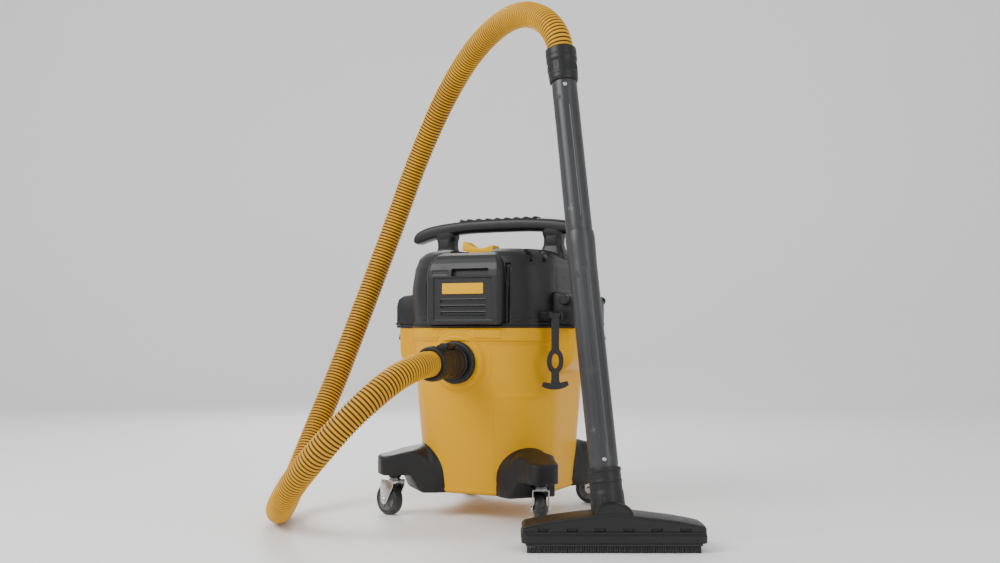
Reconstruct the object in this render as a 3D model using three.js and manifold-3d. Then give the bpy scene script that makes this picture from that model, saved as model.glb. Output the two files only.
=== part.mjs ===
// A wheeled wet-and-dry shop vacuum with its hose, wand and floor nozzle. Millimetres, +Z up.
// The machine's front faces -Y. Every piece is its own closed solid, and pieces that touch are
// kept GAP apart. The tank's upright axis is X = Y = 0 until the last lines move the origin.

import * as THREE from 'three';
import { mergeVertices } from 'three/addons/utils/BufferGeometryUtils.js';
import Module from 'manifold-3d';

const wasm = await Module();
wasm.setup();

// ---- Driving dimensions ---------------------------------------------------------------------

const GAP = 0.3;

const TANK = { bottom: 51, rim: 398, wall: 3.5, podX: 207, podY: 88, podBottom: 300 };
const INLET = { x: -16, z: 327, bossR: 58, holeR: 31, flangeR: 44, tubeR: 30, boreR: 26.5 };
const CUFF = { start: 190.3, end: 294, bodyR: 30, collarR: 34.5, hoseBoreR: 27.2, spigotR: 26.1 };
const HEAD = { base: TANK.rim + GAP, cover: 404.3, top: 563, wall: 3.5, wingX: 209, wingY: 92 };
const LATCH = { pivotX: 218, pivotZ: 456, hubR: 7.5, halfWidth: 45, pinR: 2.5 };
const HANDLE = { top: 638, under: 607, half: 210, postX: 130, halfDepth: 21, gripHalf: 92 };
const SWITCH = { y: -99, pivotZ: 555, halfX: 36, halfY: 17, tilt: 8 };
const STRAP = { turn: 62, cornerX: 60, out: 138, pivotZ: 424, bottom: 274, eyeR: 5 };
const FILTER = { cageR: 46, bottom: 252, innerR: 48, outerR: 80, pleats: 20, ballR: 24 };
const MOTOR = { canR: 55, bottom: 428, top: 528, shaftR: 4, fanR: 56 };
const FOOT = { pivot: 168, reach: 272, bore: 5.4 };
const CASTER = { wheelR: 33, halfWidth: 12, trail: 18, plateZ: 73, legY: 15, axleR: 4 };
const HOSE = { outerR: 26, innerR: 21 };
const WAND = { foot: [369.5, -313, 0], top: [223, -199, 940], joint: 560, cuffStart: 890 };
const NOZZLE = { half: 165, depth: 42, turn: 25, brushTop: 17, bandTop: 33, hoodTop: 74 };

// ---- Finishes ------------------------------------------------------------------------------

const finish = (color, roughness, metalness = 0) =>
  new THREE.MeshStandardMaterial({ color, roughness, metalness });

const YELLOW = finish(0xf0b000, 0.42);
const BLACK = finish(0x2a2b2d, 0.5);
const CHARCOAL = finish(0x3a3b3e, 0.48);
const RUBBER = finish(0x1b1b1c, 0.8);
const BRISTLE = finish(0x161617, 0.9);
const ZINC = finish(0xb9bcc0, 0.32, 1);
const STEEL = finish(0xc6c8ca, 0.3, 1);
const HUB_GREY = finish(0x77797c, 0.55);
const PAPER = finish(0xe6e2d6, 0.9);
const WHITE = finish(0xe9e9e6, 0.5);
const COPPER = finish(0xa35a32, 0.4, 1);

// ---- Solid tools ---------------------------------------------------------------------------

// Joins equal points, drops triangles with no area and turns the faces outward.
function closed(geometry) {
  const bare = new THREE.BufferGeometry();
  bare.setAttribute('position', geometry.getAttribute('position').clone());
  if (geometry.index) bare.setIndex(geometry.index.clone());
  const merged = mergeVertices(bare, 1e-4);
  const p = merged.getAttribute('position');
  const corner = (i) => new THREE.Vector3().fromBufferAttribute(p, i);
  const faces = [];
  let volume = 0;
  for (let i = 0; i < merged.index.count; i += 3) {
    const [a, b, c] = [0, 1, 2].map((k) => merged.index.getX(i + k));
    if (a === b || b === c || a === c) continue;
    faces.push([a, b, c]);
    volume += corner(a).dot(corner(b).cross(corner(c)));
  }
  merged.setIndex(faces.flatMap(([a, b, c]) => (volume < 0 ? [a, c, b] : [a, b, c])));
  return merged;
}

function toSolid(geometry) {
  const g = closed(geometry);
  return new wasm.Manifold(new wasm.Mesh({
    numProp: 3,
    vertProperties: new Float32Array(g.getAttribute('position').array),
    triVerts: new Uint32Array(g.index.array),
  }));
}

function fromSolid(body) {
  const mesh = body.getMesh();
  const g = new THREE.BufferGeometry();
  g.setAttribute('position', new THREE.BufferAttribute(new Float32Array(mesh.vertProperties), 3));
  g.setIndex(new THREE.BufferAttribute(new Uint32Array(mesh.triVerts), 1));
  return g;
}

const join = (...parts) => fromSolid(parts.map(toSolid).reduce((sum, part) => sum.add(part)));
const common = (a, b) => fromSolid(toSolid(a).intersect(toSolid(b)));
const cut = (base, ...tools) =>
  fromSolid(tools.map(toSolid).reduce((left, tool) => left.subtract(tool), toSolid(base)));

// ---- Shapes --------------------------------------------------------------------------------

function block(x0, x1, y0, y1, z0, z1) {
  const g = new THREE.BoxGeometry(x1 - x0, y1 - y0, z1 - z0);
  return g.translate((x0 + x1) / 2, (y0 + y1) / 2, (z0 + z1) / 2);
}

// A profile of [radius, z] pairs turned about the Z axis.
function turned(profile, segments = 18) {
  const points = profile.map(([r, z]) => new THREE.Vector2(r, z));
  return new THREE.LatheGeometry(points, segments).rotateX(Math.PI / 2);
}

const rod = (r, z0, z1, segments = 16) => turned([[0, z0], [r, z0], [r, z1], [0, z1]], segments);
const tube = (outer, inner, z0, z1, segments = 18) =>
  turned([[inner, z0], [outer, z0], [outer, z1], [inner, z1], [inner, z0]], segments);

const aboutY = (geometry) => geometry.rotateX(-Math.PI / 2);
const aboutX = (geometry) => geometry.rotateY(Math.PI / 2);

function extruded(points, depth, bevel, holes = []) {
  const shape = new THREE.Shape(points.map(([a, b]) => new THREE.Vector2(a, b)));
  for (const hole of holes) {
    shape.holes.push(new THREE.Path(hole.map(([a, b]) => new THREE.Vector2(a, b))));
  }
  const g = new THREE.ExtrudeGeometry(shape, {
    depth: depth - 2 * bevel, bevelEnabled: bevel > 0, bevelThickness: bevel,
    bevelSize: bevel, bevelOffset: -bevel, bevelSegments: 2,
  });
  return g.translate(0, 0, bevel);
}

// An outline drawn in one plane and carried along the third axis from one place to another.
const slabXY = (points, z0, z1, bevel = 0, holes = []) =>
  extruded(points, z1 - z0, bevel, holes).translate(0, 0, z0);
const slabXZ = (points, y0, y1, bevel = 0, holes = []) =>
  extruded(points, y1 - y0, bevel, holes).rotateX(Math.PI / 2).translate(0, y1, 0);
function slabYZ(points, x0, x1, bevel = 0) {
  const turn = new THREE.Matrix4().makeBasis(
    new THREE.Vector3(0, 1, 0), new THREE.Vector3(0, 0, 1), new THREE.Vector3(1, 0, 0));
  return extruded(points, x1 - x0, bevel).applyMatrix4(turn).translate(x0, 0, 0);
}

function arc(cx, cy, rx, ry, from, to, steps) {
  return Array.from({ length: steps + 1 }, (_, i) => {
    const a = THREE.MathUtils.degToRad(from + ((to - from) * i) / steps);
    return [cx + rx * Math.cos(a), cy + ry * Math.sin(a)];
  });
}

function roundedOutline(halfX, halfY, r, steps = 4) {
  return [
    ...arc(halfX - r, halfY - r, r, r, 0, 90, steps),
    ...arc(r - halfX, halfY - r, r, r, 90, 180, steps),
    ...arc(r - halfX, r - halfY, r, r, 180, 270, steps),
    ...arc(halfX - r, r - halfY, r, r, 270, 360, steps),
  ];
}

const levelRing = (halfX, halfY, r, z, cx = 0, cy = 0) =>
  roundedOutline(halfX, halfY, r).map(([x, y]) => new THREE.Vector3(cx + x, cy + y, z));

// Skins a stack of rings with equal counts, and closes its first and last ring.
function loft(rings) {
  const n = rings[0].length;
  const points = rings.flat();
  const index = [];
  for (let i = 0; i + 1 < rings.length; i += 1) {
    for (let j = 0; j < n; j += 1) {
      const [a, b] = [i * n + j, i * n + ((j + 1) % n)];
      index.push(a, b, b + n, a, b + n, a + n);
    }
  }
  for (const [ring, flip] of [[0, true], [rings.length - 1, false]]) {
    const centre = new THREE.Vector3();
    rings[ring].forEach((p) => centre.addScaledVector(p, 1 / n));
    points.push(centre);
    for (let j = 0; j < n; j += 1) {
      const [a, b] = [ring * n + j, ring * n + ((j + 1) % n)];
      index.push(...(flip ? [b, a, points.length - 1] : [a, b, points.length - 1]));
    }
  }
  const g = new THREE.BufferGeometry();
  g.setAttribute('position', new THREE.Float32BufferAttribute(points.flatMap((p) => p.toArray()), 3));
  g.setIndex(index);
  return g;
}

const squareStack = (sections, grow = 0) =>
  loft(sections.map(([z, half, r]) => levelRing(half + grow, half + grow, r + grow, z)));

const mirrorX = (points) => points.map(([x, z]) => [-x, z]).reverse();

// ---- The assembly --------------------------------------------------------------------------

const group = new THREE.Group();

function add(name, geometry, material) {
  const skin = closed(geometry).toNonIndexed();
  skin.computeVertexNormals();
  const mesh = new THREE.Mesh(skin, material);
  mesh.name = name;
  group.add(mesh);
}

// ---- Tank: a rounded-square tub with a shoulder pod on each side for the latches --------------

const TANK_OUTSIDE = [
  [51, 140, 96], [57, 147, 104], [150, 154, 107], [244, 160, 108], [330, 164.5, 109],
  [371, 166.5, 110], [373, 170, 110], [398, 170, 110],
];
const TANK_INSIDE = [
  [55, 141, 98], [150, 150.5, 104], [244, 156.5, 105], [371, 163, 106.5], [399, 163, 106.5],
];

function pod(side, inset) {
  const sections = [[300, 158, 60], [316, 188, 80], [334, 203, 88], [398, 207, 88]];
  const rings = sections.map(([z, outer, halfY], i) => {
    const low = 130;
    const half = (outer - inset - low) / 2;
    const lift = i < 3 ? inset : 1 * Math.sign(inset);
    return levelRing(half, halfY - inset, 12, z + lift, side * (low + half));
  });
  return loft(rings);
}

function makeTank() {
  const boss = aboutY(rod(INLET.bossR, -178, -140, 20)).translate(INLET.x, 0, INLET.z);
  const hole = aboutY(rod(INLET.holeR, -200, -120)).translate(INLET.x, 0, INLET.z);
  const bead = (side) => block(side * 207.5 - 2.5, side * 207.5 + 2.5, -30, 30, 386, 391);
  const shell = join(squareStack(TANK_OUTSIDE), pod(1, 0), pod(-1, 0), boss, bead(1), bead(-1));
  add('tank', cut(shell, squareStack(TANK_INSIDE), pod(1, 4), pod(-1, 4), hole), YELLOW);
}

// ---- Inlet: port through the tank wall, deflector inside, and the hose's cuff -----------------

function makeInlet() {
  const onInlet = (g) => aboutY(g).translate(INLET.x, 0, INLET.z);
  const besideInlet = (x0, x1, y0, y1, low, high) =>
    block(INLET.x + x0, INLET.x + x1, y0, y1, INLET.z + low, INLET.z + high);
  const { flangeR, tubeR, boreR } = INLET;
  add('inlet_port', onInlet(turned([
    [boreR, -190], [flangeR - 3, -190], [flangeR, -187], [flangeR, -178.3], [tubeR, -178.3],
    [tubeR, -146], [boreR, -146], [boreR, -190],
  ], 20)), BLACK);

  const hood = cut(
    besideInlet(-34, 34, -159, -112, -26, 34),
    besideInlet(-31, 31, -160, -116, -30, 31),
  );
  add('inlet_deflector', cut(hood, onInlet(rod(tubeR + 1, -170, -145))), BLACK);

  const { start, end, bodyR, collarR, hoseBoreR, spigotR } = CUFF;
  const cuff = onInlet(turned([
    [22, -152], [spigotR, -152], [spigotR, -start], [bodyR + 3, -start], [bodyR + 3, -208],
    [bodyR, -211], [bodyR, -262], [collarR, -268], [collarR, -end + 2], [collarR - 2, -end],
    [hoseBoreR, -end], [hoseBoreR, -256], [22, -256], [22, -152],
  ], 20));
  const well = besideInlet(-9.5, 9.5, -236.5, -213.5, 25.5, 50);
  const housing = cut(
    besideInlet(-13, 13, -240, -208, 26, 37),
    besideInlet(-9.5, 9.5, -236.5, -213.5, 20, 50),
  );
  const core = onInlet(rod(22.4, -250, -200));
  add('hose_cuff_inlet', cut(join(cuff, cut(housing, core)), cut(well, core)), BLACK);
  add('hose_lock_button', besideInlet(-9, 9, -236, -214, 30, 40), BLACK);
}

// ---- Head: plate, dome, front panel, badge, wings ---------------------------------------------

const DOME_OUTSIDE = [
  [404.3, 168, 109], [430, 168, 109], [480, 167, 108], [525, 163, 104], [545, 156, 98],
  [557, 146, 88], [563, 128, 72],
];
const DOME_INSIDE = [
  [403, 164.5, 105.5], [480, 163.5, 104.5], [525, 159.5, 101], [541, 153, 95], [553, 143, 85],
  [559, 126, 70],
];
const WING = [[150, 404.3], [209, 404.3], [209, 446], [203, 462], [192, 468], [150, 474]];

const domeBlank = (grow) => squareStack(DOME_OUTSIDE, grow);

function makeCover() {
  const { wingY } = HEAD;
  const lug = (side, y) => {
    const arm = block(195, 218, y - 4, y + 4, 447, 465);
    const eye = aboutY(rod(9, y - 4, y + 4)).translate(LATCH.pivotX, 0, LATCH.pivotZ);
    const both = join(arm, eye);
    return side > 0 ? both : both.applyMatrix4(new THREE.Matrix4().makeScale(-1, 1, 1));
  };
  const pinHole = (side) =>
    aboutY(rod(LATCH.pinR + GAP, -70, 70, 12)).translate(side * LATCH.pivotX, 0, LATCH.pivotZ);
  const boss = aboutY(rod(11, -104, -85)).translate(190, 0, 456);
  const outside = join(
    domeBlank(0), slabXZ(WING, -wingY, wingY, 4), slabXZ(mirrorX(WING), -wingY, wingY, 4),
    lug(1, 50), lug(1, -50), lug(-1, 50), lug(-1, -50), boss,
  );
  const pocket = (side) => {
    const [x0, x1] = side > 0 ? [150, 204] : [-204, -150];
    return block(x0, x1, -87, 87, 403, 456);
  };
  const vents = [40, 60].map((turn) =>
    block(-5, 5, -115, -70, 536, 580).rotateZ(THREE.MathUtils.degToRad(turn)).translate(58, -58, 0));
  const rearPort = aboutY(rod(31.6, 120, 190)).translate(0, 0, 480);
  const opening = block(-39, 39, -118, -80, 550, 570);
  add('head_cover', cut(
    outside, squareStack(DOME_INSIDE), pocket(1), pocket(-1), pinHole(1), pinHole(-1),
    ...vents, rearPort, opening,
  ), BLACK);
}

function makeHeadBase() {
  const plate = slabXY(roundedOutline(171, 171, 111), HEAD.base, 404, 1);
  const wings = slabXY(roundedOutline(HEAD.wingX, 90, 10), HEAD.base, 404, 1);
  const skirt = slabXY(roundedOutline(155.5, 155.5, 100), 382, HEAD.base + 1);
  const skirtInside = slabXY(roundedOutline(151, 151, 96), 380, HEAD.base);
  add('head_base', cut(join(plate, wings, skirt), skirtInside, rod(40, 390, 410)), BLACK);
  add('tank_gasket', slabXY(
    roundedOutline(162, 162, 105.5), 386, HEAD.base - GAP, 0, [roundedOutline(156, 156, 100.5)],
  ), RUBBER);
}

function makeFrontPanel() {
  const side = [
    [-140, 404.6], [-183, 404.6], [-183, 505], [-179, 532], [-168, 552], [-150, 565],
    [-128, 568], [-128, 540],
  ];
  const face = [[-86, 404], [86, 404], [86, 530], [70, 570], [-70, 570], [-86, 530]];
  const blank = common(slabYZ(side, -90, 90), slabXZ(face, -190, -120));
  const louvre = (z) => block(-50, 50, -190, -179, z - 2.5, z + 2.5);
  add('front_panel', cut(
    blank, domeBlank(GAP), block(-66, 66, -190, -181, 414, 500),
    louvre(427), louvre(440), louvre(453), block(-24, 57, -190, -175, 505, 519),
  ), CHARCOAL);
  add('badge_plate', slabXZ(roundedOutline(47, 11, 2).map(([x, z]) => [x, z + 479]),
    -183, -181 - GAP), YELLOW);
}

function makeHandle() {
  const { top, under, half, postX, halfDepth, gripHalf } = HANDLE;
  const right = [
    [half, 597], [half - 2, 606], [196, 619], [150, 631], [70, 637], [0, top],
  ];
  const below = [
    [0, under], [80, under - 1], [postX - 26, 602], [postX - 25, 540], [postX + 25, 540],
    [postX + 17, 602], [180, 595], [200, 588], [208, 590],
  ];
  const outline = [
    ...mirrorX(below).slice(0, -1), ...below, ...right,
    ...mirrorX(right).slice(1),
  ];
  const bar = slabXZ(outline, -halfDepth, halfDepth, 5);
  const seat = block(-gripHalf, gripHalf, -halfDepth + 4, halfDepth - 4, 630, 650);
  add('carry_handle', cut(bar, seat, domeBlank(GAP)), BLACK);

  const waves = 8;
  const ripple = [];
  for (let i = 0; i <= waves * 4; i += 1) {
    const x = (gripHalf - 1) * (1 - (2 * i) / (waves * 4));
    ripple.push([x, 638.5 + 1.6 * Math.cos((i / 4) * 2 * Math.PI)]);
  }
  const pad = slabXZ([[1 - gripHalf, 630 + GAP], [gripHalf - 1, 630 + GAP], ...ripple],
    -halfDepth + 4.5, halfDepth - 4.5, 1);
  add('handle_grip', pad, RUBBER);
}

function makeSwitch() {
  const { y, pivotZ, halfX, halfY, tilt } = SWITCH;
  const body = cut(
    block(-42, 42, y - 22, y + 22, 520, 559), block(-38.5, 38.5, y - 18.5, y + 18.5, 546, 570),
    aboutY(rod(2.4, y - 25, y + 25, 12)).translate(0, 0, pivotZ),
  );
  add('switch_body', body, BLACK);
  const side = [
    [-halfX, 3], [0, -4], [halfX, 3], [halfX, 19], [halfX - 4, 21], [18, 14], [0, 12],
    [-18, 14], [4 - halfX, 21], [-halfX, 19],
  ];
  const rocker = join(
    slabXZ(side, -halfY, halfY, 1.5), aboutY(rod(2, -20.5, 20.5, 12)),
  ).rotateY(THREE.MathUtils.degToRad(tilt)).translate(0, y, pivotZ);
  add('power_switch', rocker, YELLOW);
}

function makeLatches() {
  const { pivotX, pivotZ, hubR, halfWidth, pinR } = LATCH;
  const lever = [
    [210.5, 377], [222, 374], [229, 371], [231, 375], [226, 390], [226, pivotZ],
    [213.5, pivotZ], [213.5, 385], [210.5, 383],
  ];
  for (const [name, side] of [['left', -1], ['right', 1]]) {
    const hub = aboutY(rod(hubR, -halfWidth, halfWidth)).translate(pivotX, 0, pivotZ);
    const bore = aboutY(rod(pinR + 0.4, -60, 60, 12)).translate(pivotX, 0, pivotZ);
    const pin = aboutY(rod(pinR, -54, 54, 12)).translate(pivotX, 0, pivotZ);
    const latch = cut(join(slabXZ(lever, -halfWidth, halfWidth), hub), bore);
    const mirror = new THREE.Matrix4().makeScale(side, 1, 1);
    add(`latch_${name}`, latch.applyMatrix4(mirror), CHARCOAL);
    add(`latch_pin_${name}`, pin.applyMatrix4(mirror), STEEL);
  }
}

function makeStrap() {
  const { turn, cornerX, out, pivotZ, bottom, eyeR } = STRAP;
  const toCorner = (g) =>
    g.rotateZ(THREE.MathUtils.degToRad(turn)).translate(cornerX, -cornerX, 0);
  const cheek = (side) => block(side * 14 - 3, side * 14 + 3, -out - 6, -out + 10, 417, 431);
  const arm = join(block(-17, 17, -out + 6, -90, 416, 432), cheek(1), cheek(-1));
  const pin = aboutX(rod(1.8, -16, 16, 12)).translate(0, -out, pivotZ);
  add('strap_anchor', cut(toCorner(join(arm, pin)), domeBlank(GAP)), BLACK);

  const ringZ = 324;
  const outline = [
    [10, pivotZ], [9, ringZ + 26], ...arc(0, ringZ, 18, 25, 60, -60, 6), [9, bottom + 14],
    [30, bottom + 12], [33, bottom + 5], [28, bottom], [0, bottom - 2],
  ];
  const full = [...outline, ...mirrorX(outline.slice(0, -1))];
  const blade = slabXZ(full, -out - 2.5, -out + 2.5, 0, [arc(0, ringZ, 8, 16, 0, 345, 15)]);
  const eye = aboutX(rod(eyeR, -10, 10, 12)).translate(0, -out, pivotZ);
  const bore = aboutX(rod(2.2, -20, 20, 12)).translate(0, -out, pivotZ);
  add('tool_strap', toCorner(cut(join(blade, eye), bore)), RUBBER);
}

// ---- Inside the head: fan housing, motor and its rotor; below it the filter --------------------

function makeMotor() {
  const { canR, bottom, top, shaftR, fanR } = MOTOR;
  add('fan_housing', turned([
    [20, 404.3], [66, 404.3], [66, 425.7], [20, 425.7], [20, 423], [62, 423], [62, 407],
    [20, 407], [20, 404.3],
  ], 20), STEEL);
  add('motor_can', turned([
    [12, bottom - 2], [canR, bottom - 2], [canR, top], [12, top], [12, top - 2],
    [canR - 2, top - 2], [canR - 2, bottom], [12, bottom], [12, bottom - 2],
  ], 20), STEEL);
  add('motor_stator', tube(canR - 2.5, 36, 446, 510, 20), ZINC);
  const bladeRing = (count, inner, outer, z0, z1) => Array.from({ length: count }, (_, i) =>
    block(inner, outer, -1.2, 1.2, z0, z1).rotateZ((i * 2 * Math.PI) / count));
  add('motor_shaft', rod(shaftR, 409, 545, 12), STEEL);
  add('motor_armature', tube(33, shaftR + GAP, 448, 508, 18), COPPER);
  add('impeller', join(
    tube(fanR, shaftR + GAP, 410, 412, 18), tube(12, shaftR + GAP, 410, 420, 18),
    ...bladeRing(6, 10, fanR - 1, 411, 420),
  ), ZINC);
  add('cooling_fan', join(
    tube(12, shaftR + GAP, 531, 543, 18), ...bladeRing(6, 10, 44, 532, 542),
  ), WHITE);
  add('blower_port', aboutY(turned([
    [27, 158], [31, 158], [31, 168.5], [36, 169], [36, 174], [31, 175], [31, 190], [27, 190],
    [27, 158],
  ], 20)).translate(0, 0, 480), BLACK);
}

function makeFilter() {
  const { cageR, bottom, innerR, outerR, pleats, ballR } = FILTER;
  const windows = [0, 60, 120].map((turn) =>
    block(-60, 60, -13, 13, 285, 375).rotateZ(THREE.MathUtils.degToRad(turn)));
  add('filter_cage', cut(turned([
    [6, bottom], [cageR, bottom], [cageR, 393.7], [62, 394], [62, HEAD.base - GAP],
    [cageR - 3, HEAD.base - GAP], [cageR - 3, bottom + 4], [6, bottom + 4], [6, bottom],
  ]), ...windows), BLACK);
  add('float_ball', new THREE.SphereGeometry(ballR, 16, 10).rotateX(Math.PI / 2)
    .translate(0, 0, bottom + 4.6 + ballR), WHITE);
  const star = Array.from({ length: pleats * 2 }, (_, i) => {
    const a = (i * Math.PI) / pleats;
    const r = i % 2 ? outerR - 10 : outerR - 2;
    return [r * Math.cos(a), r * Math.sin(a)];
  });
  add('filter_cartridge', join(
    slabXY(star, bottom + 5, 388, 0, [arc(0, 0, innerR, innerR, 0, 345, 23)]),
    tube(outerR, innerR, bottom, bottom + 6), tube(outerR, innerR, 387, 393.4),
  ), PAPER);
  add('filter_retainer', join(
    rod(74, bottom - 7, bottom - GAP, 24), rod(5.4, bottom - 8, bottom + 4, 12),
    block(-26, 26, -6, 6, bottom - 26, bottom - 6),
  ), BLACK);
}

// ---- Undercarriage: four corner feet, each with a swivel caster ---------------------------------

const CORNERS = [
  ['front_left', -1, -1, -20], ['front_right', 1, -1, -65],
  ['rear_right', 1, 1, 10], ['rear_left', -1, 1, 150],
];

function makeFoot(name, sx, sy) {
  const sections = [
    [140, 60, 52, 153, 12], [182, 58, 52, 150, 12], [204, 47, 79, 142, 12],
    [232, 36, 86, 133, 12], [262, 31, 88, 130, 12], [FOOT.reach, 25, 93, 125, 9],
  ];
  const blank = loft(sections.map(([u, half, low, high, r]) =>
    roundedOutline(half, (high - low) / 2, r, 3).map(([v, w]) =>
      new THREE.Vector3(u, v, (high + low) / 2 + w))));
  const pivot = FOOT.pivot * Math.SQRT2;
  const socket = rod(13, 80.6, 95).translate(pivot, 0, 0);
  const bore = rod(FOOT.bore, 70, 112, 12).translate(pivot, 0, 0);
  const turn = Math.atan2(sy, sx);
  const foot = cut(join(blank, socket), bore).rotateZ(turn);
  add(`foot_${name}`, cut(foot, squareStack(TANK_OUTSIDE, GAP)), BLACK);
}

function makeCaster(name, sx, sy, swivel) {
  const { wheelR, halfWidth, trail, plateZ, legY, axleR } = CASTER;
  const place = (g) => g.rotateZ(THREE.MathUtils.degToRad(swivel))
    .translate(sx * FOOT.pivot, sy * FOOT.pivot, 0);
  const leg = [
    [14, plateZ + 2], [-26, plateZ + 2], ...arc(-trail, wheelR, 10, 10, 160, 330, 6),
  ];
  const plates = [-legY - 2, legY].map((y) => slabXZ(leg, y, y + 2));
  const axleHole = aboutY(rod(axleR + GAP, -30, 30, 12)).translate(-trail, 0, wheelR);
  const top = block(-26, 14, -legY - 2, legY + 2, plateZ, plateZ + 3);
  const stem = join(rod(5, plateZ + 2, 106, 12), rod(11, plateZ + 2, plateZ + 7, 20));
  add(`caster_fork_${name}`, place(cut(join(top, ...plates, stem), axleHole)), ZINC);

  const axle = turned([
    [0, -20], [6.5, -20], [6.5, -17.3], [axleR, -17.3], [axleR, 17.3], [6.5, 17.3],
    [6.5, 20], [0, 20],
  ], 12);
  add(`caster_axle_${name}`, place(aboutY(axle).translate(-trail, 0, wheelR)), STEEL);

  const bore = axleR + GAP;
  const wheel = turned([
    [bore, -14], [8, -14], [9, -7], [22, -7], [24, -halfWidth + 1], [wheelR - 4, -halfWidth],
    [wheelR, -halfWidth + 5], [wheelR, halfWidth - 5], [wheelR - 4, halfWidth],
    [24, halfWidth - 1], [22, 7], [9, 7], [8, 14], [bore, 14], [bore, -14],
  ], 18);
  add(`caster_wheel_${name}`, place(aboutY(wheel).translate(-trail, 0, wheelR)), HUB_GREY);
}

// ---- Wand and nozzle: everything on the wand's own slanted line ---------------------------------

const wandFoot = new THREE.Vector3(...WAND.foot);
const wandTop = new THREE.Vector3(...WAND.top);
const wandLength = wandTop.distanceTo(wandFoot);
const wandAlong = wandTop.clone().sub(wandFoot).normalize();

// Stands a piece that was made about the Z axis on the wand's line, with z as distance from its foot.
function onWand(geometry) {
  const front = new THREE.Vector3(Math.sin(0.436), -Math.cos(0.436), 0);
  const y = front.negate().addScaledVector(wandAlong, front.dot(wandAlong)).normalize();
  y.addScaledVector(wandAlong, -y.dot(wandAlong)).normalize();
  const x = new THREE.Vector3().crossVectors(y, wandAlong);
  const frame = new THREE.Matrix4().makeBasis(x, y, wandAlong).setPosition(wandFoot);
  return geometry.applyMatrix4(frame);
}

function makeWand() {
  const { joint, cuffStart } = WAND;
  const buttonHole = (s) => rod(4.5, -40, 0, 12).rotateX(-Math.PI / 2).translate(0, 0, s);
  add('wand_lower', onWand(cut(turned([
    [22.5, 104], [25.5, 104], [25.5, joint - 20], [28, joint - 14], [28, joint + 30],
    [24.6, joint + 30], [24.6, joint - 12], [22.5, joint - 12], [22.5, 104],
  ], 20), buttonHole(160))), CHARCOAL);
  add('wand_upper', onWand(cut(turned([
    [21.5, joint - 11.5], [24.2, joint - 11.5], [24.2, joint + 31], [25, joint + 32],
    [25, cuffStart - 1], [23.5, cuffStart], [23.5, cuffStart + 34], [21.5, cuffStart + 34],
    [21.5, joint - 11.5],
  ], 20), buttonHole(878))), CHARCOAL);
  const end = wandLength;
  add('hose_cuff_wand', onWand(turned([
    [24, cuffStart + 0.3], [27, cuffStart + 0.3], [28.5, cuffStart + 6], [28.5, end - 30],
    [30.5, end - 24], [30.5, end - 2], [29, end], [27.6, end], [27.6, cuffStart + 36],
    [24, cuffStart + 36], [24, cuffStart + 0.3],
  ], 20)), BLACK);
  for (const [name, s, r] of [['lower', 160, 25.5], ['upper', 878, 25]]) {
    const button = rod(4, 20.5, r + 2.6, 12).rotateX(Math.PI / 2).translate(0, 0, s);
    add(`wand_button_${name}`, onWand(button), ZINC);
  }
}

function makeNozzle() {
  const { half, depth, turn, brushTop, bandTop, hoodTop } = NOZZLE;
  const place = (g) => g.rotateZ(THREE.MathUtils.degToRad(turn))
    .translate(WAND.foot[0], WAND.foot[1], 0);
  add('nozzle_base', place(slabXY(
    roundedOutline(half, depth, 10, 3), brushTop, bandTop, 1.5, [roundedOutline(146, 27, 6, 3)],
  )), BLACK);
  for (const [name, side] of [['front', -1], ['rear', 1]]) {
    add(`brush_${name}`, place(slabXY(roundedOutline(150, 5, 3, 2), 0, brushTop - GAP)
      .translate(0, side * 34, 0)), BRISTLE);
  }
  const hood = (inset) => {
    const sections = [
      [bandTop + GAP - inset, half - 2, depth - 2, 10], [44, half - 4, depth - 4, 10],
      [56 - inset / 2, half - 22, depth - 8, 12], [63 - inset, 90, 32, 14],
      [68 - inset, 56, 31, 16], [hoodTop - inset, 34, 30, 20],
    ];
    return place(loft(sections.map(([z, hx, hy, r]) => levelRing(hx - inset, hy - inset, r, z))));
  };
  const neck = onWand(turned([
    [0, 60], [31, 60], [31, 100], [29.5, 106], [29.5, 138], [30.5, 139], [30.5, 146], [0, 146],
  ], 20));
  const bore = onWand(rod(25.9, 102, 160, 20));
  const throat = onWand(rod(22, 46, 104, 20));
  add('nozzle_hood', cut(join(hood(0), neck), hood(3), bore, throat), BLACK);
}

// ---- Hose: one length from the inlet cuff, over the floor and up to the wand's cuff --------------

const HOSE_ROUTE = [
  [-16, -258, 327], [-16, -294, 327], [-17, -345, 322], [-27, -406, 303], [-50, -459, 267],
  [-87, -495, 219], [-132, -510, 167], [-188, -496, 115], [-243, -459, 70], [-293, -406, 39],
  [-333, -345, 28], [-362, -284, 40], [-380, -224, 79], [-388, -168, 138], [-388, -115, 209],
  [-381, -67, 286], [-371, -27, 364], [-358, 8, 443], [-342, 37, 521], [-323, 60, 598],
  [-300, 76, 675], [-272, 83, 752], [-238, 82, 825], [-196, 70, 892], [-146, 48, 951],
  [-88, 16, 1000], [-24, -24, 1033], [43, -70, 1049], [106, -115, 1045], [160, -154, 1022],
  [197, -182, 991], [215.5, -194, 963], [223, -199, 940], [226.4, -201.6, 918],
];

function makeHose() {
  const curve = new THREE.CatmullRomCurve3(
    HOSE_ROUTE.map((p) => new THREE.Vector3(...p)), false, 'centripetal');
  const shape = new THREE.Shape().absarc(0, 0, HOSE.outerR, 0, 2 * Math.PI);
  shape.holes.push(new THREE.Path().absarc(0, 0, HOSE.innerR, 0, 2 * Math.PI, true));
  add('hose', new THREE.ExtrudeGeometry(shape, {
    steps: 64, extrudePath: curve, bevelEnabled: false, curveSegments: 6,
  }), YELLOW);
}

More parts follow.
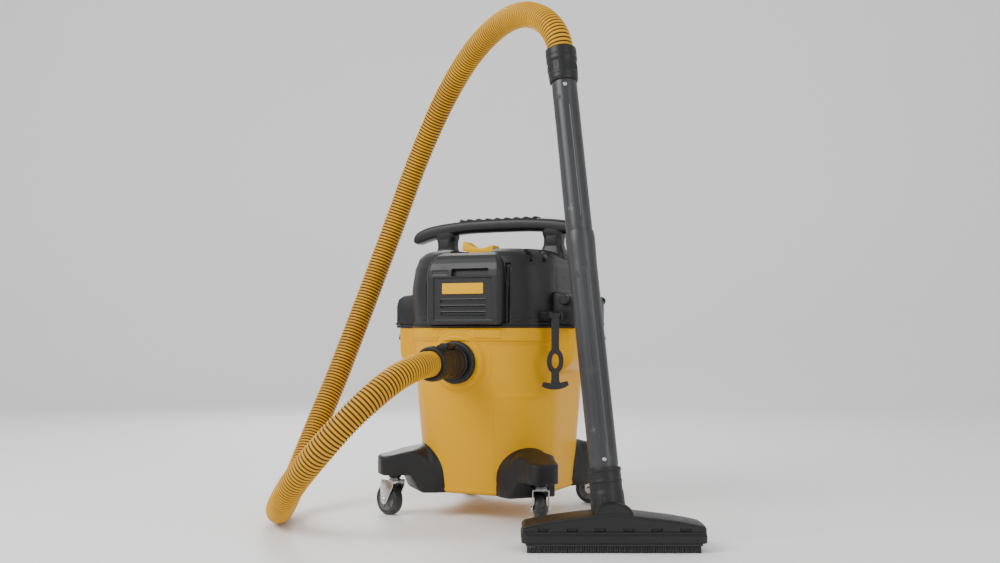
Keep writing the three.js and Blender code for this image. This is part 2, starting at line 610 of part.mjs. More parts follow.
makeTank();
makeInlet();
makeHeadBase();
makeCover();
makeFrontPanel();
makeHandle();
makeSwitch();
makeLatches();
makeStrap();
makeMotor();
makeFilter();
for (const [name, sx, sy, swivel] of CORNERS) {
  makeFoot(name, sx, sy);
  makeCaster(name, sx, sy, swivel);
}
makeWand();
makeNozzle();
makeHose();

// The row's origin is under the middle of everything but the free hose.
const box = new THREE.Box3();
for (const mesh of group.children) {
  if (mesh.name !== 'hose') box.expandByObject(mesh);
}
const middle = box.getCenter(new THREE.Vector3());
for (const mesh of group.children) {
  mesh.geometry.translate(-middle.x, -middle.y, -box.min.z);
}

export default group;
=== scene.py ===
import math

import bmesh
import bpy
import numpy as np
from mathutils import Matrix, Vector


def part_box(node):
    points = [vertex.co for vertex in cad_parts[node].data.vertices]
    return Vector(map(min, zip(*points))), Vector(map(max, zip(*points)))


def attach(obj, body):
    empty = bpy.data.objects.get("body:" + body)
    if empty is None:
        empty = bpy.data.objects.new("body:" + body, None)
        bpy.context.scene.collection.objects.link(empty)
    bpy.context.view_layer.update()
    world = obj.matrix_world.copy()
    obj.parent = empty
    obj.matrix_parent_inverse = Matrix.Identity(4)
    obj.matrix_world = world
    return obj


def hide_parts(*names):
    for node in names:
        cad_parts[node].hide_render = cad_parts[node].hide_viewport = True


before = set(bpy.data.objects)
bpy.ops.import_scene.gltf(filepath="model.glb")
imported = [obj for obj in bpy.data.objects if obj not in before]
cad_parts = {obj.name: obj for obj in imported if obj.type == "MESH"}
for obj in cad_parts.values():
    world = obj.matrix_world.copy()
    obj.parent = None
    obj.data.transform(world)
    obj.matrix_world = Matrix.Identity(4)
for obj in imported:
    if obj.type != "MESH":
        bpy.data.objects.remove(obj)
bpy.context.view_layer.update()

# ---- Where the machine stands -----------------------------------------------------------------
# Everything is worked out from the tub's upright axis, where it meets the floor. The front of the
# machine faces -Y. The tub is as wide to its left as to its right, and its back is 170 mm behind.

tub_low, tub_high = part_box("tank")
AXIS = Vector(((tub_low.x + tub_high.x) / 2, tub_high.y - 0.170, 0))

# ---- Camera ------------------------------------------------------------------------------------
# A level camera at the height of the tub's rim, a little to the right of the front.

VIEW_TURN = math.radians(25)
VIEW_DISTANCE = 2.42
camera = bpy.data.objects.new("camera", bpy.data.cameras.new("camera"))
bpy.context.scene.collection.objects.link(camera)
camera.data.lens = 39.6
camera.data.sensor_width = 36
camera.data.shift_y = 0.0465
camera.location = AXIS + Vector((
    VIEW_DISTANCE * math.sin(VIEW_TURN), -VIEW_DISTANCE * math.cos(VIEW_TURN), tub_high.z))
camera.rotation_euler = (math.pi / 2, 0, VIEW_TURN)
bpy.context.scene.camera = camera

# ---- Hose --------------------------------------------------------------------------------------
# One length of blow-moulded 52 mm hose, ribbed all along. It leaves the inlet cuff, drops to the
# floor at the machine's left, and springs up over the head into the cuff at the top of the wand.

HOSE_RADIUS = 0.026
HOSE_GROOVE = 0.0024
RIB_PITCH = 0.0075
HOSE_ROUTE = [
    (-.016, -.258, .327), (-.016, -.294, .327), (-.017, -.345, .322), (-.027, -.406, .303),
    (-.050, -.459, .267), (-.087, -.495, .219), (-.132, -.510, .167), (-.188, -.496, .115),
    (-.243, -.459, .070), (-.293, -.406, .039), (-.333, -.345, .028), (-.362, -.284, .040),
    (-.380, -.224, .079), (-.388, -.168, .138), (-.388, -.115, .209), (-.381, -.067, .286),
    (-.371, -.027, .364), (-.358, .008, .443), (-.342, .037, .521), (-.323, .060, .598),
    (-.300, .076, .675), (-.272, .083, .752), (-.238, .082, .825), (-.196, .070, .892),
    (-.146, .048, .951), (-.088, .016, 1.000), (-.024, -.024, 1.033), (.043, -.070, 1.049),
    (.106, -.115, 1.045), (.160, -.154, 1.022), (.197, -.182, .991), (.2155, -.194, .963),
    (.223, -.199, .940), (.2264, -.2016, .918),
]


def smooth_line(points, per_span):
    """A centripetal Catmull-Rom curve through the points, as many closely spaced ones."""
    points = np.array(points, float)
    ends = [2 * points[0] - points[1]], [2 * points[-1] - points[-2]]
    p = np.vstack([ends[0], points, ends[1]])
    knots = np.concatenate([[0], np.cumsum(np.linalg.norm(np.diff(p, axis=0), axis=1) ** 0.5)])
    line = []
    for i in range(1, len(p) - 2):
        t0, t1, t2, t3 = knots[i - 1:i + 3]
        for t in np.linspace(t1, t2, per_span, endpoint=False):
            a = [p[i + k] + (p[i + k + 1] - p[i + k]) * (t - s) / (e - s)
                 for k, s, e in ((-1, t0, t1), (0, t1, t2), (1, t2, t3))]
            b = a[0] + (a[1] - a[0]) * (t - t0) / (t2 - t0)
            c = a[1] + (a[2] - a[1]) * (t - t1) / (t3 - t1)
            line.append(b + (c - b) * (t - t1) / (t2 - t1))
    return np.vstack([line, points[-1]])


def along(line, distances):
    """Points at the given distances along a line."""
    run = np.concatenate([[0], np.cumsum(np.linalg.norm(np.diff(line, axis=0), axis=1))])
    return np.stack([np.interp(distances, run, line[:, k]) for k in range(line.shape[1])], axis=1)


def swept_rings(centres, radii, segments):
    """Circles round each centre, square to the line and not twisting along it."""
    tangents = np.gradient(centres, axis=0)
    tangents /= np.linalg.norm(tangents, axis=1)[:, None]
    side = np.cross(tangents[0], (0, 0, 1))
    turn = np.linspace(0, 2 * math.pi, segments, endpoint=False)
    rings = []
    for centre, tangent, radius in zip(centres, tangents, radii):
        side = side - tangent * side.dot(tangent)
        side /= np.linalg.norm(side)
        up = np.cross(side, tangent)
        rings.append(centre + radius * (np.cos(turn)[:, None] * side + np.sin(turn)[:, None] * up))
    return np.array(rings)


def skin(rings, caps=True, around=True):
    """Points and faces that join a stack of equal rings, closed with a fan at each end."""
    rings = np.asarray(rings, float)
    levels, count = rings.shape[:2]
    points = rings.reshape(-1, 3)
    faces = []
    for i in range(levels - 1):
        for j in range(count if around else count - 1):
            a, b = i * count + j, i * count + (j + 1) % count
            faces.append((a, b, b + count, a + count))
    if caps:
        for level in (0, levels - 1):
            hub = len(points)
            points = np.vstack([points, rings[level].mean(axis=0)])
            faces += [(level * count + j, level * count + (j + 1) % count, hub)
                      for j in range(count)]
    return points, faces


def piece(name, *parts, sharp=40):
    """One object from one or more closed skins, placed on the machine's axis and smooth-shaded."""
    mesh = bmesh.new()
    for points, faces in parts:
        verts = [mesh.verts.new(Vector(p) + AXIS) for p in points]
        for face in faces:
            mesh.faces.new([verts[k] for k in face])
    bmesh.ops.remove_doubles(mesh, verts=mesh.verts, dist=1e-6)
    bmesh.ops.recalc_face_normals(mesh, faces=mesh.faces)
    data = bpy.data.meshes.new(name)
    mesh.to_mesh(data)
    mesh.free()
    data.polygons.foreach_set("use_smooth", [True] * len(data.polygons))
    data.set_sharp_from_angle(angle=math.radians(sharp))
    obj = bpy.data.objects.new(name, data)
    bpy.context.scene.collection.objects.link(obj)
    return obj


class Wire:
    """A shader socket that can be used in arithmetic: each operation adds a Math node."""

    def __init__(self, tree, socket):
        self.tree, self.socket = tree, socket

    def add(self, kind, settings=None, out=0, **inputs):
        node = self.tree.nodes.new("ShaderNode" + kind)
        for key, value in (settings or {}).items():
            if key == "stops":
                while len(node.color_ramp.elements) < len(value):
                    node.color_ramp.elements.new(0.5)
                for stop, (place, shade) in zip(node.color_ramp.elements, value):
                    stop.position, stop.color = place, (shade, shade, shade, 1)
            else:
                setattr(node, key, value)
        for key, value in inputs.items():
            slot = node.inputs[int(key[1:]) if key[0] == "_" else key.replace("_", " ")]
            if isinstance(value, Wire):
                self.tree.links.new(value.socket, slot)
            else:
                slot.default_value = value
        return Wire(self.tree, node.outputs[out])

    def _math(self, operation, first, second):
        return self.add("Math", {"operation": operation}, _0=first, _1=second)

    def __add__(self, other): return self._math("ADD", self, other)
    def __radd__(self, other): return self._math("ADD", other, self)
    def __sub__(self, other): return self._math("SUBTRACT", self, other)
    def __rsub__(self, other): return self._math("SUBTRACT", other, self)
    def __mul__(self, other): return self._math("MULTIPLY", self, other)
    def __rmul__(self, other): return self._math("MULTIPLY", other, self)
    def __pow__(self, other): return self._math("POWER", self, other)

    def noise(self, scale, detail=3.0, place=None):
        return self.add("TexNoise", out="Fac", Vector=place or self, Scale=scale, Detail=detail)

    def over(self, low, high):
        """0 below low and 1 above high, with a smooth change between."""
        return self.add("MapRange", {"interpolation_type": "SMOOTHSTEP"},
                        Value=self, From_Min=low, From_Max=high)

    def mix(self, first, second):
        """The first colour where this is 0 and the second where it is 1."""
        colours = [c if isinstance(c, Wire) else (*c, 1) for c in (first, second)]
        return self.add("Mix", {"data_type": "RGBA"}, out=2, _0=self, _6=colours[0], _7=colours[1])

    def bump(self, depth, strength=1.0):
        """A normal from this height, which is `depth` metres from 0 to 1."""
        return self.add("Bump", out="Normal", Height=self, Distance=depth, Strength=strength)


def new_material(name):
    """A material, a wire with the piece's own coordinates, and its shader."""
    material = bpy.data.materials.new(name)
    material.use_nodes = True
    tree = material.node_tree
    shader = tree.nodes["Principled BSDF"]
    start = Wire(tree, shader.outputs[0])
    return material, start.add("TexCoord", out="Object"), shader


def connect(shader, **sockets):
    """Sets a shader's sockets: a wire is linked, and anything else is a plain value."""
    for key, value in sockets.items():
        slot = shader.inputs[key.replace("_", " ")]
        if isinstance(value, Wire):
            value.tree.links.new(value.socket, slot)
        else:
            slot.default_value = (*value, 1) if isinstance(value, tuple) else value


def fit(obj, body, slot, material, *nodes):
    """Gives a piece its finish, the body that it moves with and the CAD nodes that it stands for."""
    obj.data.materials.clear()
    obj.data.materials.append(material)
    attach(obj, body)
    if nodes:
        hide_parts(*nodes)
    return obj


def hose_yellow():
    material, place, shader = new_material("hose_yellow")
    rib = place.add("Attribute", {"attribute_name": "rib"}, out="Fac")
    cloud = place.noise(6.0)
    grime = place.noise(38.0, 5.0).over(0.45, 0.75)
    crest = rib.over(0.05, 0.75)
    crown = cloud.over(0.35, 0.65).mix((0.60, 0.29, 0.0), (0.68, 0.34, 0.0))
    # The grooves between the ribs are painted near black as painted shade, and a brown grime darkens some of
    # the crests.
    groove_shade_and_grime = (grime * crest * 0.18).mix(crest.mix((0.060, 0.022, 0.0), crown), (0.30, 0.15, 0.01))
    connect(shader, Base_Color=groove_shade_and_grime, Roughness=0.46 - rib * 0.12 + grime * 0.12,
            Normal=place.noise(900.0, 2.0).bump(0.00012, 0.5), Specular_IOR_Level=0.25)
    return material


hose_line = smooth_line(HOSE_ROUTE, 24)
hose_span = np.linalg.norm(np.diff(hose_line, axis=0), axis=1).sum()
HOSE_TUCK = 0.009
HOSE_SEGMENTS = 28
ribs = int((hose_span - HOSE_TUCK) / RIB_PITCH)
RIB_SHAPE = [(0.00, 0.0), (0.18, 0.05), (0.32, 0.80), (0.44, 1.0), (0.62, 1.0), (0.74, 0.80),
             (0.88, 0.05)]
phases = [(HOSE_TUCK + (k + phase) * RIB_PITCH, rise) for k in range(ribs) for phase, rise in RIB_SHAPE]
rib_height = np.array([rise for _, rise in phases])
hose_centres = along(hose_line, np.array([run for run, _ in phases]))
hose = piece("hose_ribbed", skin(swept_rings(
    hose_centres, HOSE_RADIUS - HOSE_GROOVE * (1 - rib_height), HOSE_SEGMENTS)), sharp=180)
heights = hose.data.attributes.new("rib", "FLOAT", "POINT")
heights.data.foreach_set("value", np.append(np.repeat(rib_height, HOSE_SEGMENTS), (0, 0)))
fit(hose, "base", "hose_yellow", hose_yellow(), "hose")

# ---- Floor and light ---------------------------------------------------------------------------
# A pale seamless floor that curves up far behind, two large soft lamps and a narrow one for edges.


def lamp(name, place, aim, size, power):
    light = bpy.data.lights.new(name, "AREA")
    light.shape, light.size, light.size_y, light.energy = "RECTANGLE", size[0], size[1], power
    obj = bpy.data.objects.new(name, light)
    bpy.context.scene.collection.objects.link(obj)
    obj.location = AXIS + Vector(place)
    obj.rotation_euler = (Vector(aim) - Vector(place)).to_track_quat("-Z", "Y").to_euler()


FLOOR_BACK, FLOOR_BEND = 3.0, 1.2
sweep = [(-6.0, 0.0), (FLOOR_BACK, 0.0)]
sweep += [(FLOOR_BACK + FLOOR_BEND * math.sin(a), FLOOR_BEND - FLOOR_BEND * math.cos(a))
          for a in np.linspace(0.1, math.pi / 2, 12)]
sweep.append((FLOOR_BACK + FLOOR_BEND, 5.0))
turned_away = Matrix.Rotation(VIEW_TURN, 3, "Z")
floor = piece("floor", skin([
    [turned_away @ Vector((x, y, z)) for x in (-9.0, 9.0)] for y, z in sweep],
    caps=False, around=False), sharp=180)
floor_white, _, floor_shader = new_material("floor_white")
connect(floor_shader, Base_Color=(0.93, 0.93, 0.93), Roughness=0.6)
floor.data.materials.append(floor_white)

world = bpy.data.worlds.new("studio")
world.use_nodes = True
backdrop = world.node_tree.nodes["Background"]
backdrop.inputs["Color"].default_value = (1, 1, 1, 1)
backdrop.inputs["Strength"].default_value = 0.80
bpy.context.scene.world = world
lamp("key", (-1.3, -2.4, 2.3), (0, 0, 0.4), (1.8, 1.8), 80)
lamp("fill", (2.8, -1.5, 1.4), (0.1, 0, 0.5), (1.0, 2.2), 22)
lamp("edge", (-1.6, 1.9, 1.9), (0, 0, 0.6), (0.8, 1.8), 34)

# ---- Tub ---------------------------------------------------------------------------------------
# One injection-moulded bin in glossy yellow plastic, a rounded square that widens towards its rim.
# The rim is a stiff band with a step below it; a boss carries the hose inlet, two shallow panels
# are sunk into the front right, and a shoulder on each side takes the latch.

GLOSS_YELLOW = (0.74, 0.365, 0.0)
INLET_X = -0.016


def square_ring(half, corner, count):
    """Points, outward normals and signed run of a rounded square, from the middle of its front."""
    flat = half - corner
    side = 2 * flat + math.pi * corner / 2
    rows = []
    for k in range(count):
        quarter, t = divmod(4 * side * k / count + flat, side)
        a = max(0.0, t - 2 * flat) / corner
        x = min(t, 2 * flat) - flat + corner * math.sin(a)
        y = -flat - corner * math.cos(a)
        c, s = math.cos(quarter * math.pi / 2), math.sin(quarter * math.pi / 2)
        nx, ny = math.sin(a), -math.cos(a)
        run = 4 * side * k / count
        run -= 4 * side if run > 2 * side else 0
        rows.append((x * c - y * s, x * s + y * c, nx * c - ny * s, nx * s + ny * c, run))
    return np.array(rows)


def step(value, low, high):
    """0 below low, 1 above high and smooth between."""
    t = np.clip((value - low) / (high - low), 0, 1)
    return t * t * (3 - 2 * t)


def patch(run, z, left, right, low, high, soft=0.003):
    """1 inside a rectangle of the wall and 0 outside it, with an edge `soft` wide."""
    return (step(run, left - soft, left) * (1 - step(run, right, right + soft))
            * step(z, low - soft, low) * (1 - step(z, high, high + soft)))


def square_wall(sections, levels, relief=None, count=360):
    """Rings of a rounded-square wall at the given levels, raised by relief(x, y, z, run)."""
    heights, halves, corners = np.array(sections).T
    rings = []
    for z in levels:
        ring = square_ring(np.interp(z, heights, halves), np.interp(z, heights, corners), count)
        x, y, nx, ny, run = ring.T
        out = relief(x, y, z, run) if relief else 0
        rings.append(np.stack([x + nx * out, y + ny * out, np.full(count, z)], axis=1))
    return rings


def square_level(z, half, corner, count=360):
    """One level ring of a rounded square."""
    return square_wall([(0, half, corner), (1, half, corner)], [z], None, count)[0]


def levels_between(low, high, pitch):
    return list(np.linspace(low, high, max(2, int(round((high - low) / pitch)) + 1)))


TUB_WALL = [(.057, .147, .104), (.150, .154, .107), (.244, .160, .108), (.330, .1645, .109),
            (.398, .1672, .110)]
TUB_LINING = [(.0545, .141, .098), (.150, .1505, .104), (.244, .1565, .105), (.371, .163, .1065),
              (.398, .163, .1065)]
TUB_RIM_Z = 0.398
INLET_Z = 0.327


def tub_relief(x, y, z, run):
    """Rim band, its stepped ledges, the inlet boss, the sunk panels and the foot band, in metres."""
    front = y < 0
    band = 0.0028 * step(z, .3705, .3725)
    ledge = 0.0024 * (patch(run, z, .012, .078, .378, .3945, .002)
                      + patch(run, z, -.25, -.062, .378, .3945, .002))
    from_inlet = np.hypot(x - INLET_X, z - INLET_Z)
    boss = np.where(front, 0.0125 * (1 - step(from_inlet, .052, .066)), 0)
    collar = np.where(front, 0.0012 * (1 - step(from_inlet, .072, .0735)), 0)
    clear = np.where(front, step(from_inlet, .070, .078), 1)
    upper = -0.0022 * patch(run, z, .042, .196, .264, .363, .004) * clear
    lower = -0.0014 * patch(run, z, .060, .190, .085, .252, .005)
    back = -0.0018 * patch(np.abs(run), z, .46, .70, .10, .34, .006)
    foot = 0.0015 * (1 - step(z, .060, .064))
    return band + ledge + boss + collar + upper + lower + back + foot


tub_bottom = [
    (.0510, .138, .094), (.0514, .142, .098), (.0528, .1452, .1015), (.0550, .1467, .1035)]
outside = [square_level(*row) for row in tub_bottom]
outside += square_wall(TUB_WALL, levels_between(.057, .366, .0026), tub_relief)
outside += square_wall(TUB_WALL, levels_between(.3675, .3965, .0010), tub_relief)
outside.append(square_level(TUB_RIM_Z, .1695, .110))
inside = square_wall(TUB_LINING, [TUB_RIM_Z, .397, .371, .330, .244, .150, .058])
inside.append(square_level(.0545, .134, .090))
tub_parts = [skin(outside + inside)]

POD_SECTIONS = [(.3000, .158, .058), (.3035, .166, .066), (.3080, .175, .073), (.3160, .188, .080),
                (.3250, .197, .0845), (.3340, .203, .0872), (.3420, .2052, .0880), (.3920, .2068, .0880),
                (.3960, .2068, .0880), (.3978, .2058, .0870)]


def box_ring(low_x, high_x, half_y, corner, z, per_corner=8):
    """A level ring round a box with rounded corners, from low_x to high_x and +-half_y."""
    points = []
    for cx, cy, start in ((high_x - corner, half_y - corner, 0), (low_x + corner, half_y - corner, 90),
                          (low_x + corner, corner - half_y, 180), (high_x - corner, corner - half_y, 270)):
        for k in range(per_corner + 1):
            a = math.radians(start + 90 * k / per_corner)
            points.append((cx + corner * math.cos(a), cy + corner * math.sin(a), z))
    return np.array(points)


def mirrored(part):
    points, faces = part
    return np.asarray(points) * (-1, 1, 1), faces


def plate(outline, low, high, edge, plane="XZ", steps=3):
    """An outline carried along its third axis, with rounded edges `edge` wide."""
    outline = np.asarray(outline, float)
    after = np.roll(outline, -1, axis=0)
    if np.sum(outline[:, 0] * after[:, 1] - outline[:, 1] * after[:, 0]) < 0:
        outline = outline[::-1]
    into = outline - np.roll(outline, 1, axis=0)
    onto = np.roll(outline, -1, axis=0) - outline
    normals = sum(np.stack([side[:, 1], -side[:, 0]], 1) / np.linalg.norm(side, axis=1)[:, None]
                  for side in (into, onto))
    normals /= np.maximum(np.sum(normals * normals, axis=1)[:, None] / 2, 0.35)
    rings = []
    for depth, way in ((low, 1), (high, -1)):
        turns = np.linspace(0, math.pi / 2, steps + 1)
        for a in turns if way > 0 else turns[::-1]:
            shrunk = outline - normals * edge * (1 - math.sin(a))
            level = np.full(len(outline), depth + way * edge * (1 - math.cos(a)))
            columns = {"XZ": (shrunk[:, 0], level, shrunk[:, 1]),
                       "YZ": (level, shrunk[:, 0], shrunk[:, 1]),
                       "XY": (shrunk[:, 0], shrunk[:, 1], level)}[plane]
            rings.append(np.stack(columns, axis=1))
    points, faces = skin(rings, caps=False)
    count = len(outline)
    last = (len(rings) - 1) * count
    return points, faces + [tuple(range(count))[::-1], tuple(range(last, last + count))]


def pod_part():
    """A shoulder whose inner side follows the tub's lining and stays inside its wall."""
    into_wall = .0020
    heights, halves, corners = zip(*TUB_LINING)
    rings = []
    for z, outer, half_y in POD_SECTIONS:
        ring = box_ring(.140, outer, half_y, .011, z)
        corner = np.interp(z, heights, corners)
        flat = np.interp(z, heights, halves) - corner
        past_flat = np.maximum(np.abs(ring[:, 1]) - flat, 0)
        wall_middle = flat + np.sqrt(corner ** 2 - past_flat ** 2) + into_wall
        ring[:, 0] = np.maximum(ring[:, 0], wall_middle)
        rings.append(ring)
    return skin(rings)


bead = plate([(.204, .386), (.2095, .387), (.2098, .390), (.204, .391)], -.030, .030, .0008)
tub_parts += [pod_part(), mirrored(pod_part()), bead, mirrored(bead)]


def moulded(name, colour, roughness, shade=0.85, grain=0.00010, gloss=0.4):
    """Injection-moulded plastic: slow change of tone, handling marks and a fine moulded grain."""
    material, place, shader = new_material(name)
    cloud = place.noise(4.0, 2.0).over(0.3, 0.7)
    scuffs = place.add("Mapping", Vector=place, Scale=(1.0, 1.0, 4.0)).noise(22.0, 8.0)
    marks = scuffs.over(0.60, 0.74)
    tone = cloud.mix(tuple(c * shade for c in colour), colour)
    dusty = (marks * 0.10).mix(tone, tuple(0.75 * c + 0.03 for c in colour))
    connect(shader, Base_Color=dusty,
            Roughness=roughness + (cloud - 0.5) * 0.05 + marks * 0.10,
            Normal=(place.noise(1400.0, 2.0) + scuffs * 0.4).bump(grain, 0.6),
            Specular_IOR_Level=gloss)
    return material


yellow = moulded("tub_yellow", GLOSS_YELLOW, 0.36, 0.93, 0.00006, 0.16)
fit(piece("tub", *tub_parts, sharp=50), "base", "tank_yellow", yellow, "tank")

# ---- Inlet port, deflector, and the hose's cuff -----------------------------------------------
# A black moulded port is fixed in the tub's front wall, with a hood behind it that throws the dirt
# down. The hose's cuff pushes into the port and its thumb button locks it there.

BLACK = (0.0085, 0.0088, 0.0095)
CHARCOAL = (0.0135, 0.0140, 0.0150)


def turned(profile, segments=96):
    """A profile of (radius, height) pairs turned about the upright axis, as one closed skin."""
    turn = np.linspace(0, 2 * math.pi, segments, endpoint=False)
    rings = [np.stack([r * np.cos(turn), r * np.sin(turn), np.full(segments, z)], axis=1)
             for r, z in profile]
    if profile[0] == profile[-1]:
        points, faces = skin(rings[:-1], caps=False)
        top = (len(rings) - 2) * segments
        return points, faces + [(top + j, top + (j + 1) % segments, (j + 1) % segments, j)
                                for j in range(segments)]
    return skin(rings)


def moved(part, matrix):
    points, faces = part
    return np.array([matrix @ Vector(p) for p in points]), faces


def rounded(profile, edge, steps=3):
    """The same profile with each corner cut back by `edge` and rounded."""
    profile = [np.array(p, float) for p in profile]
    closed = np.allclose(profile[0], profile[-1])
    corners = profile[:-1] if closed else profile
    out = []
    for i, corner in enumerate(corners):
        if not closed and i in (0, len(corners) - 1):
            out.append(tuple(corner))
            continue
        before, after = corners[i - 1] - corner, corners[(i + 1) % len(corners)] - corner
        a, b = np.linalg.norm(before), np.linalg.norm(after)
        cut = min(edge, 0.45 * a, 0.45 * b)
        start, end = corner + before / a * cut, corner + after / b * cut
        for t in np.linspace(0, 1, steps + 1):
            out.append(tuple((1 - t) ** 2 * start + 2 * t * (1 - t) * corner + t * t * end))
    return out + [out[0]] if closed else out


def dress(material, *names):
    """Gives CAD nodes that keep their own shape a finish."""
    for name in names:
        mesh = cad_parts[name].data
        mesh.materials.clear()
        mesh.materials.append(material)


INLET_AXIS = Matrix.Translation((INLET_X, 0, INLET_Z)) @ Matrix.Rotation(-math.pi / 2, 4, "X")
black = moulded("black_plastic", BLACK, 0.42, 0.8, 0.00012)
charcoal = moulded("charcoal_plastic", CHARCOAL, 0.40, 0.8, 0.00012)

port = turned(rounded([
    (.0265, -.190), (.0405, -.190), (.0440, -.1875), (.0440, -.1850), (.0425, -.1840),
    (.0425, -.1822), (.0440, -.1812), (.0440, -.1783), (.0300, -.1783), (.0300, -.146),
    (.0265, -.146), (.0265, -.190)], .0009))
fit(piece("inlet_flange", moved(port, INLET_AXIS)), "base", "black_plastic", black, "inlet_port")

cuff = turned(rounded([
    (.0220, -.152), (.0261, -.152), (.0261, -.1903), (.0345, -.1903), (.0345, -.1975),
    (.0322, -.1990), (.0322, -.2080), (.0300, -.2110), (.0300, -.2370), (.0312, -.2380),
    (.0312, -.2400), (.0300, -.2410), (.0300, -.2620), (.0338, -.2665), (.0345, -.2690),
    (.0345, -.2905), (.0325, -.2938), (.0272, -.2938), (.0272, -.256), (.0220, -.256),
    (.0220, -.152)], .0010))
GRIP_RIBS = 28
grip_ribs = []
for k in range(GRIP_RIBS):
    turn = Matrix.Rotation(2 * math.pi * k / GRIP_RIBS, 4, "Z")
    rib = plate([(.0335, -.287), (.0353, -.286), (.0353, -.273), (.0335, -.272)], -.0011, .0011, .0005)
    grip_ribs.append(moved(rib, INLET_AXIS @ turn))
housing = [
    plate([(-.013, .3555), (-.013, .3625), (-.0105, .3640), (-.0095, .3640), (-.0095, .3555)],
          -.240, -.208, .0010),
    plate([(.0095, .3555), (.0095, .3640), (.0105, .3640), (.013, .3625), (.013, .3555)],
          -.240, -.208, .0010),
    plate([(-.013, .3555), (-.013, .3622), (.013, .3622), (.013, .3555)], -.240, -.2368, .0008),
    plate([(-.013, .3555), (-.013, .3622), (.013, .3622), (.013, .3555)], -.2112, -.208, .0008),
]
to_inlet = Matrix.Translation((INLET_X, 0, 0))
fit(piece("inlet_cuff", moved(cuff, INLET_AXIS), *grip_ribs, *[moved(p, to_inlet) for p in housing]),
    "base", "black_plastic", black, "hose_cuff_inlet")

button = [plate([(-.009, .3604), (-.009, .3655), (-.0065, .3668), (.0065, .3668), (.009, .3655),
                 (.009, .3604)], -.2358, -.2142, .0010)]
button += [plate([(-.007, .3660), (-.007, .3676), (.007, .3676), (.007, .3660)],
                 -.2155 - .0040 * k, -.2138 - .0040 * k, .0004) for k in range(1, 6)]
fit(piece("cuff_button", *[moved(p, to_inlet) for p in button]), "hose_lock", "black_plastic",
    charcoal, "hose_lock_button")
dress(black, "inlet_deflector")

# ---- Corner feet -------------------------------------------------------------------------------
# Four black mouldings hug the tub's bottom corners. Each is an arch where it meets the tub and
# draws in to a square-edged block that stands over its caster.

FOOT_REACH = 0.272
FOOT_NOSE = 0.243
CASTER_OUT = 0.168
foot_black = moulded("foot_black", (0.0085, 0.0085, 0.009), 0.46, 0.8, 0.00016)


def foot_ring(u):
    """One cross-section of a foot at `u` from the tub's axis: an arch near the tub, a block outside."""
    to_tub = 1 - step(u, .176, .214)
    half = np.interp(u, [.140, .165, .185, .205, .225, .245, .262],
                     [.062, .060, .053, .043, .0355, .0315, .0305])
    if u > FOOT_NOSE:
        nose = (u - FOOT_NOSE) / (FOOT_REACH + .0002 - FOOT_NOSE)
        half = max(half * (1 - nose ** 3.2) ** (1 / 3.2), .006)
    top = np.interp(u, [.140, .170, .200, .240, .268, FOOT_REACH], [.153, .1525, .1440, .1345, .1290, .1265])
    low = .0885 - .0365 * (1 - step(u, .190, .216)) + .0015 * step(u, .266, FOOT_REACH)
    arch = np.interp(to_tub, [0, 1], [.0065, .062])
    power = np.interp(to_tub, [0, 1], [2.4, 2.1])
    shoulder = top - arch
    points = [(half, low + .002), (half, (low + shoulder) / 2), (half, shoulder)]
    for a in np.linspace(0, math.pi, 25)[1:-1]:
        c, s = math.cos(a), math.sin(a)
        points.append((half * math.copysign(abs(c) ** (2 / (power + 2.5 * (1 - to_tub))), c),
                       shoulder + arch * abs(s) ** (2 / power)))
    points += [(-half, shoulder), (-half, (low + shoulder) / 2), (-half, low + .002),
               (-half + .002, low), (0, low), (half - .002, low)]
    return [(u, v, z) for v, z in points]


foot_stations = list(np.linspace(.140, FOOT_NOSE, 36))
foot_stations += [FOOT_NOSE + .0289 * math.sin(a) for a in np.linspace(.08, math.pi / 2, 16)]
foot_skin = skin([foot_ring(u) for u in foot_stations])
socket = moved(turned(rounded([(.006, .0806), (.0120, .0806), (.0130, .0830), (.0130, .0895),
                               (.006, .0895), (.006, .0806)], .0006), 48),
               Matrix.Translation((CASTER_OUT * math.sqrt(2), 0, 0)))
CORNERS = [("front_left", -1, -1, -20), ("front_right", 1, -1, -65),
           ("rear_right", 1, 1, 10), ("rear_left", -1, 1, 150)]
for corner, sx, sy, _ in CORNERS:
    outward = Matrix.Rotation(math.atan2(sy, sx), 4, "Z")
    fit(piece("corner_foot_" + corner, moved(foot_skin, outward), moved(socket, outward), sharp=45),
        "base", "black_plastic", foot_black, "foot_" + corner)

# ---- Swivel casters ----------------------------------------------------------------------------
# A pressed and zinc-plated fork turns on a kingpin under each foot. The wheel is hard black
# plastic on a grey hub, and runs on a riveted steel axle behind the kingpin.

CASTER_TRAIL = 0.018
WHEEL_RADIUS = 0.033


def plated(name, colour, roughness, streak=60.0):
    """Bright plated or turned steel: fine streaks, dull patches and a touch of tarnish."""
    material, place, shader = new_material(name)
    streaks = place.add("Mapping", Vector=place, Scale=(1.0, 1.0, 9.0)).noise(streak, 6.0)
    patches = place.noise(45.0, 4.0).over(0.45, 0.7)
    tone = patches.mix(colour, tuple(c * f for c, f in zip(colour, (0.86, 0.84, 0.80))))
    connect(shader, Base_Color=tone, Metallic=1.0, Roughness=roughness + patches * 0.14
            + (streaks - 0.5) * 0.10, Normal=streaks.bump(0.00006, 0.5))
    return material


def wheel_black():
    material, place, shader = new_material("caster_black")
    scuff = place.noise(120.0, 6.0)
    dust = scuff.over(0.52, 0.72)
    connect(shader, Base_Color=(dust * 0.5).mix((0.018, 0.018, 0.019), (0.11, 0.105, 0.10)),
            Roughness=0.48 + dust * 0.22, Normal=scuff.bump(0.0002, 0.5))
    return material


zinc = plated("zinc_plate", (0.62, 0.64, 0.66), 0.24)
steel = plated("turned_steel", (0.66, 0.67, 0.68), 0.20, 140.0)
tread = wheel_black()
hub_grey = moulded("hub_grey", (0.16, 0.165, 0.17), 0.5, 0.8)

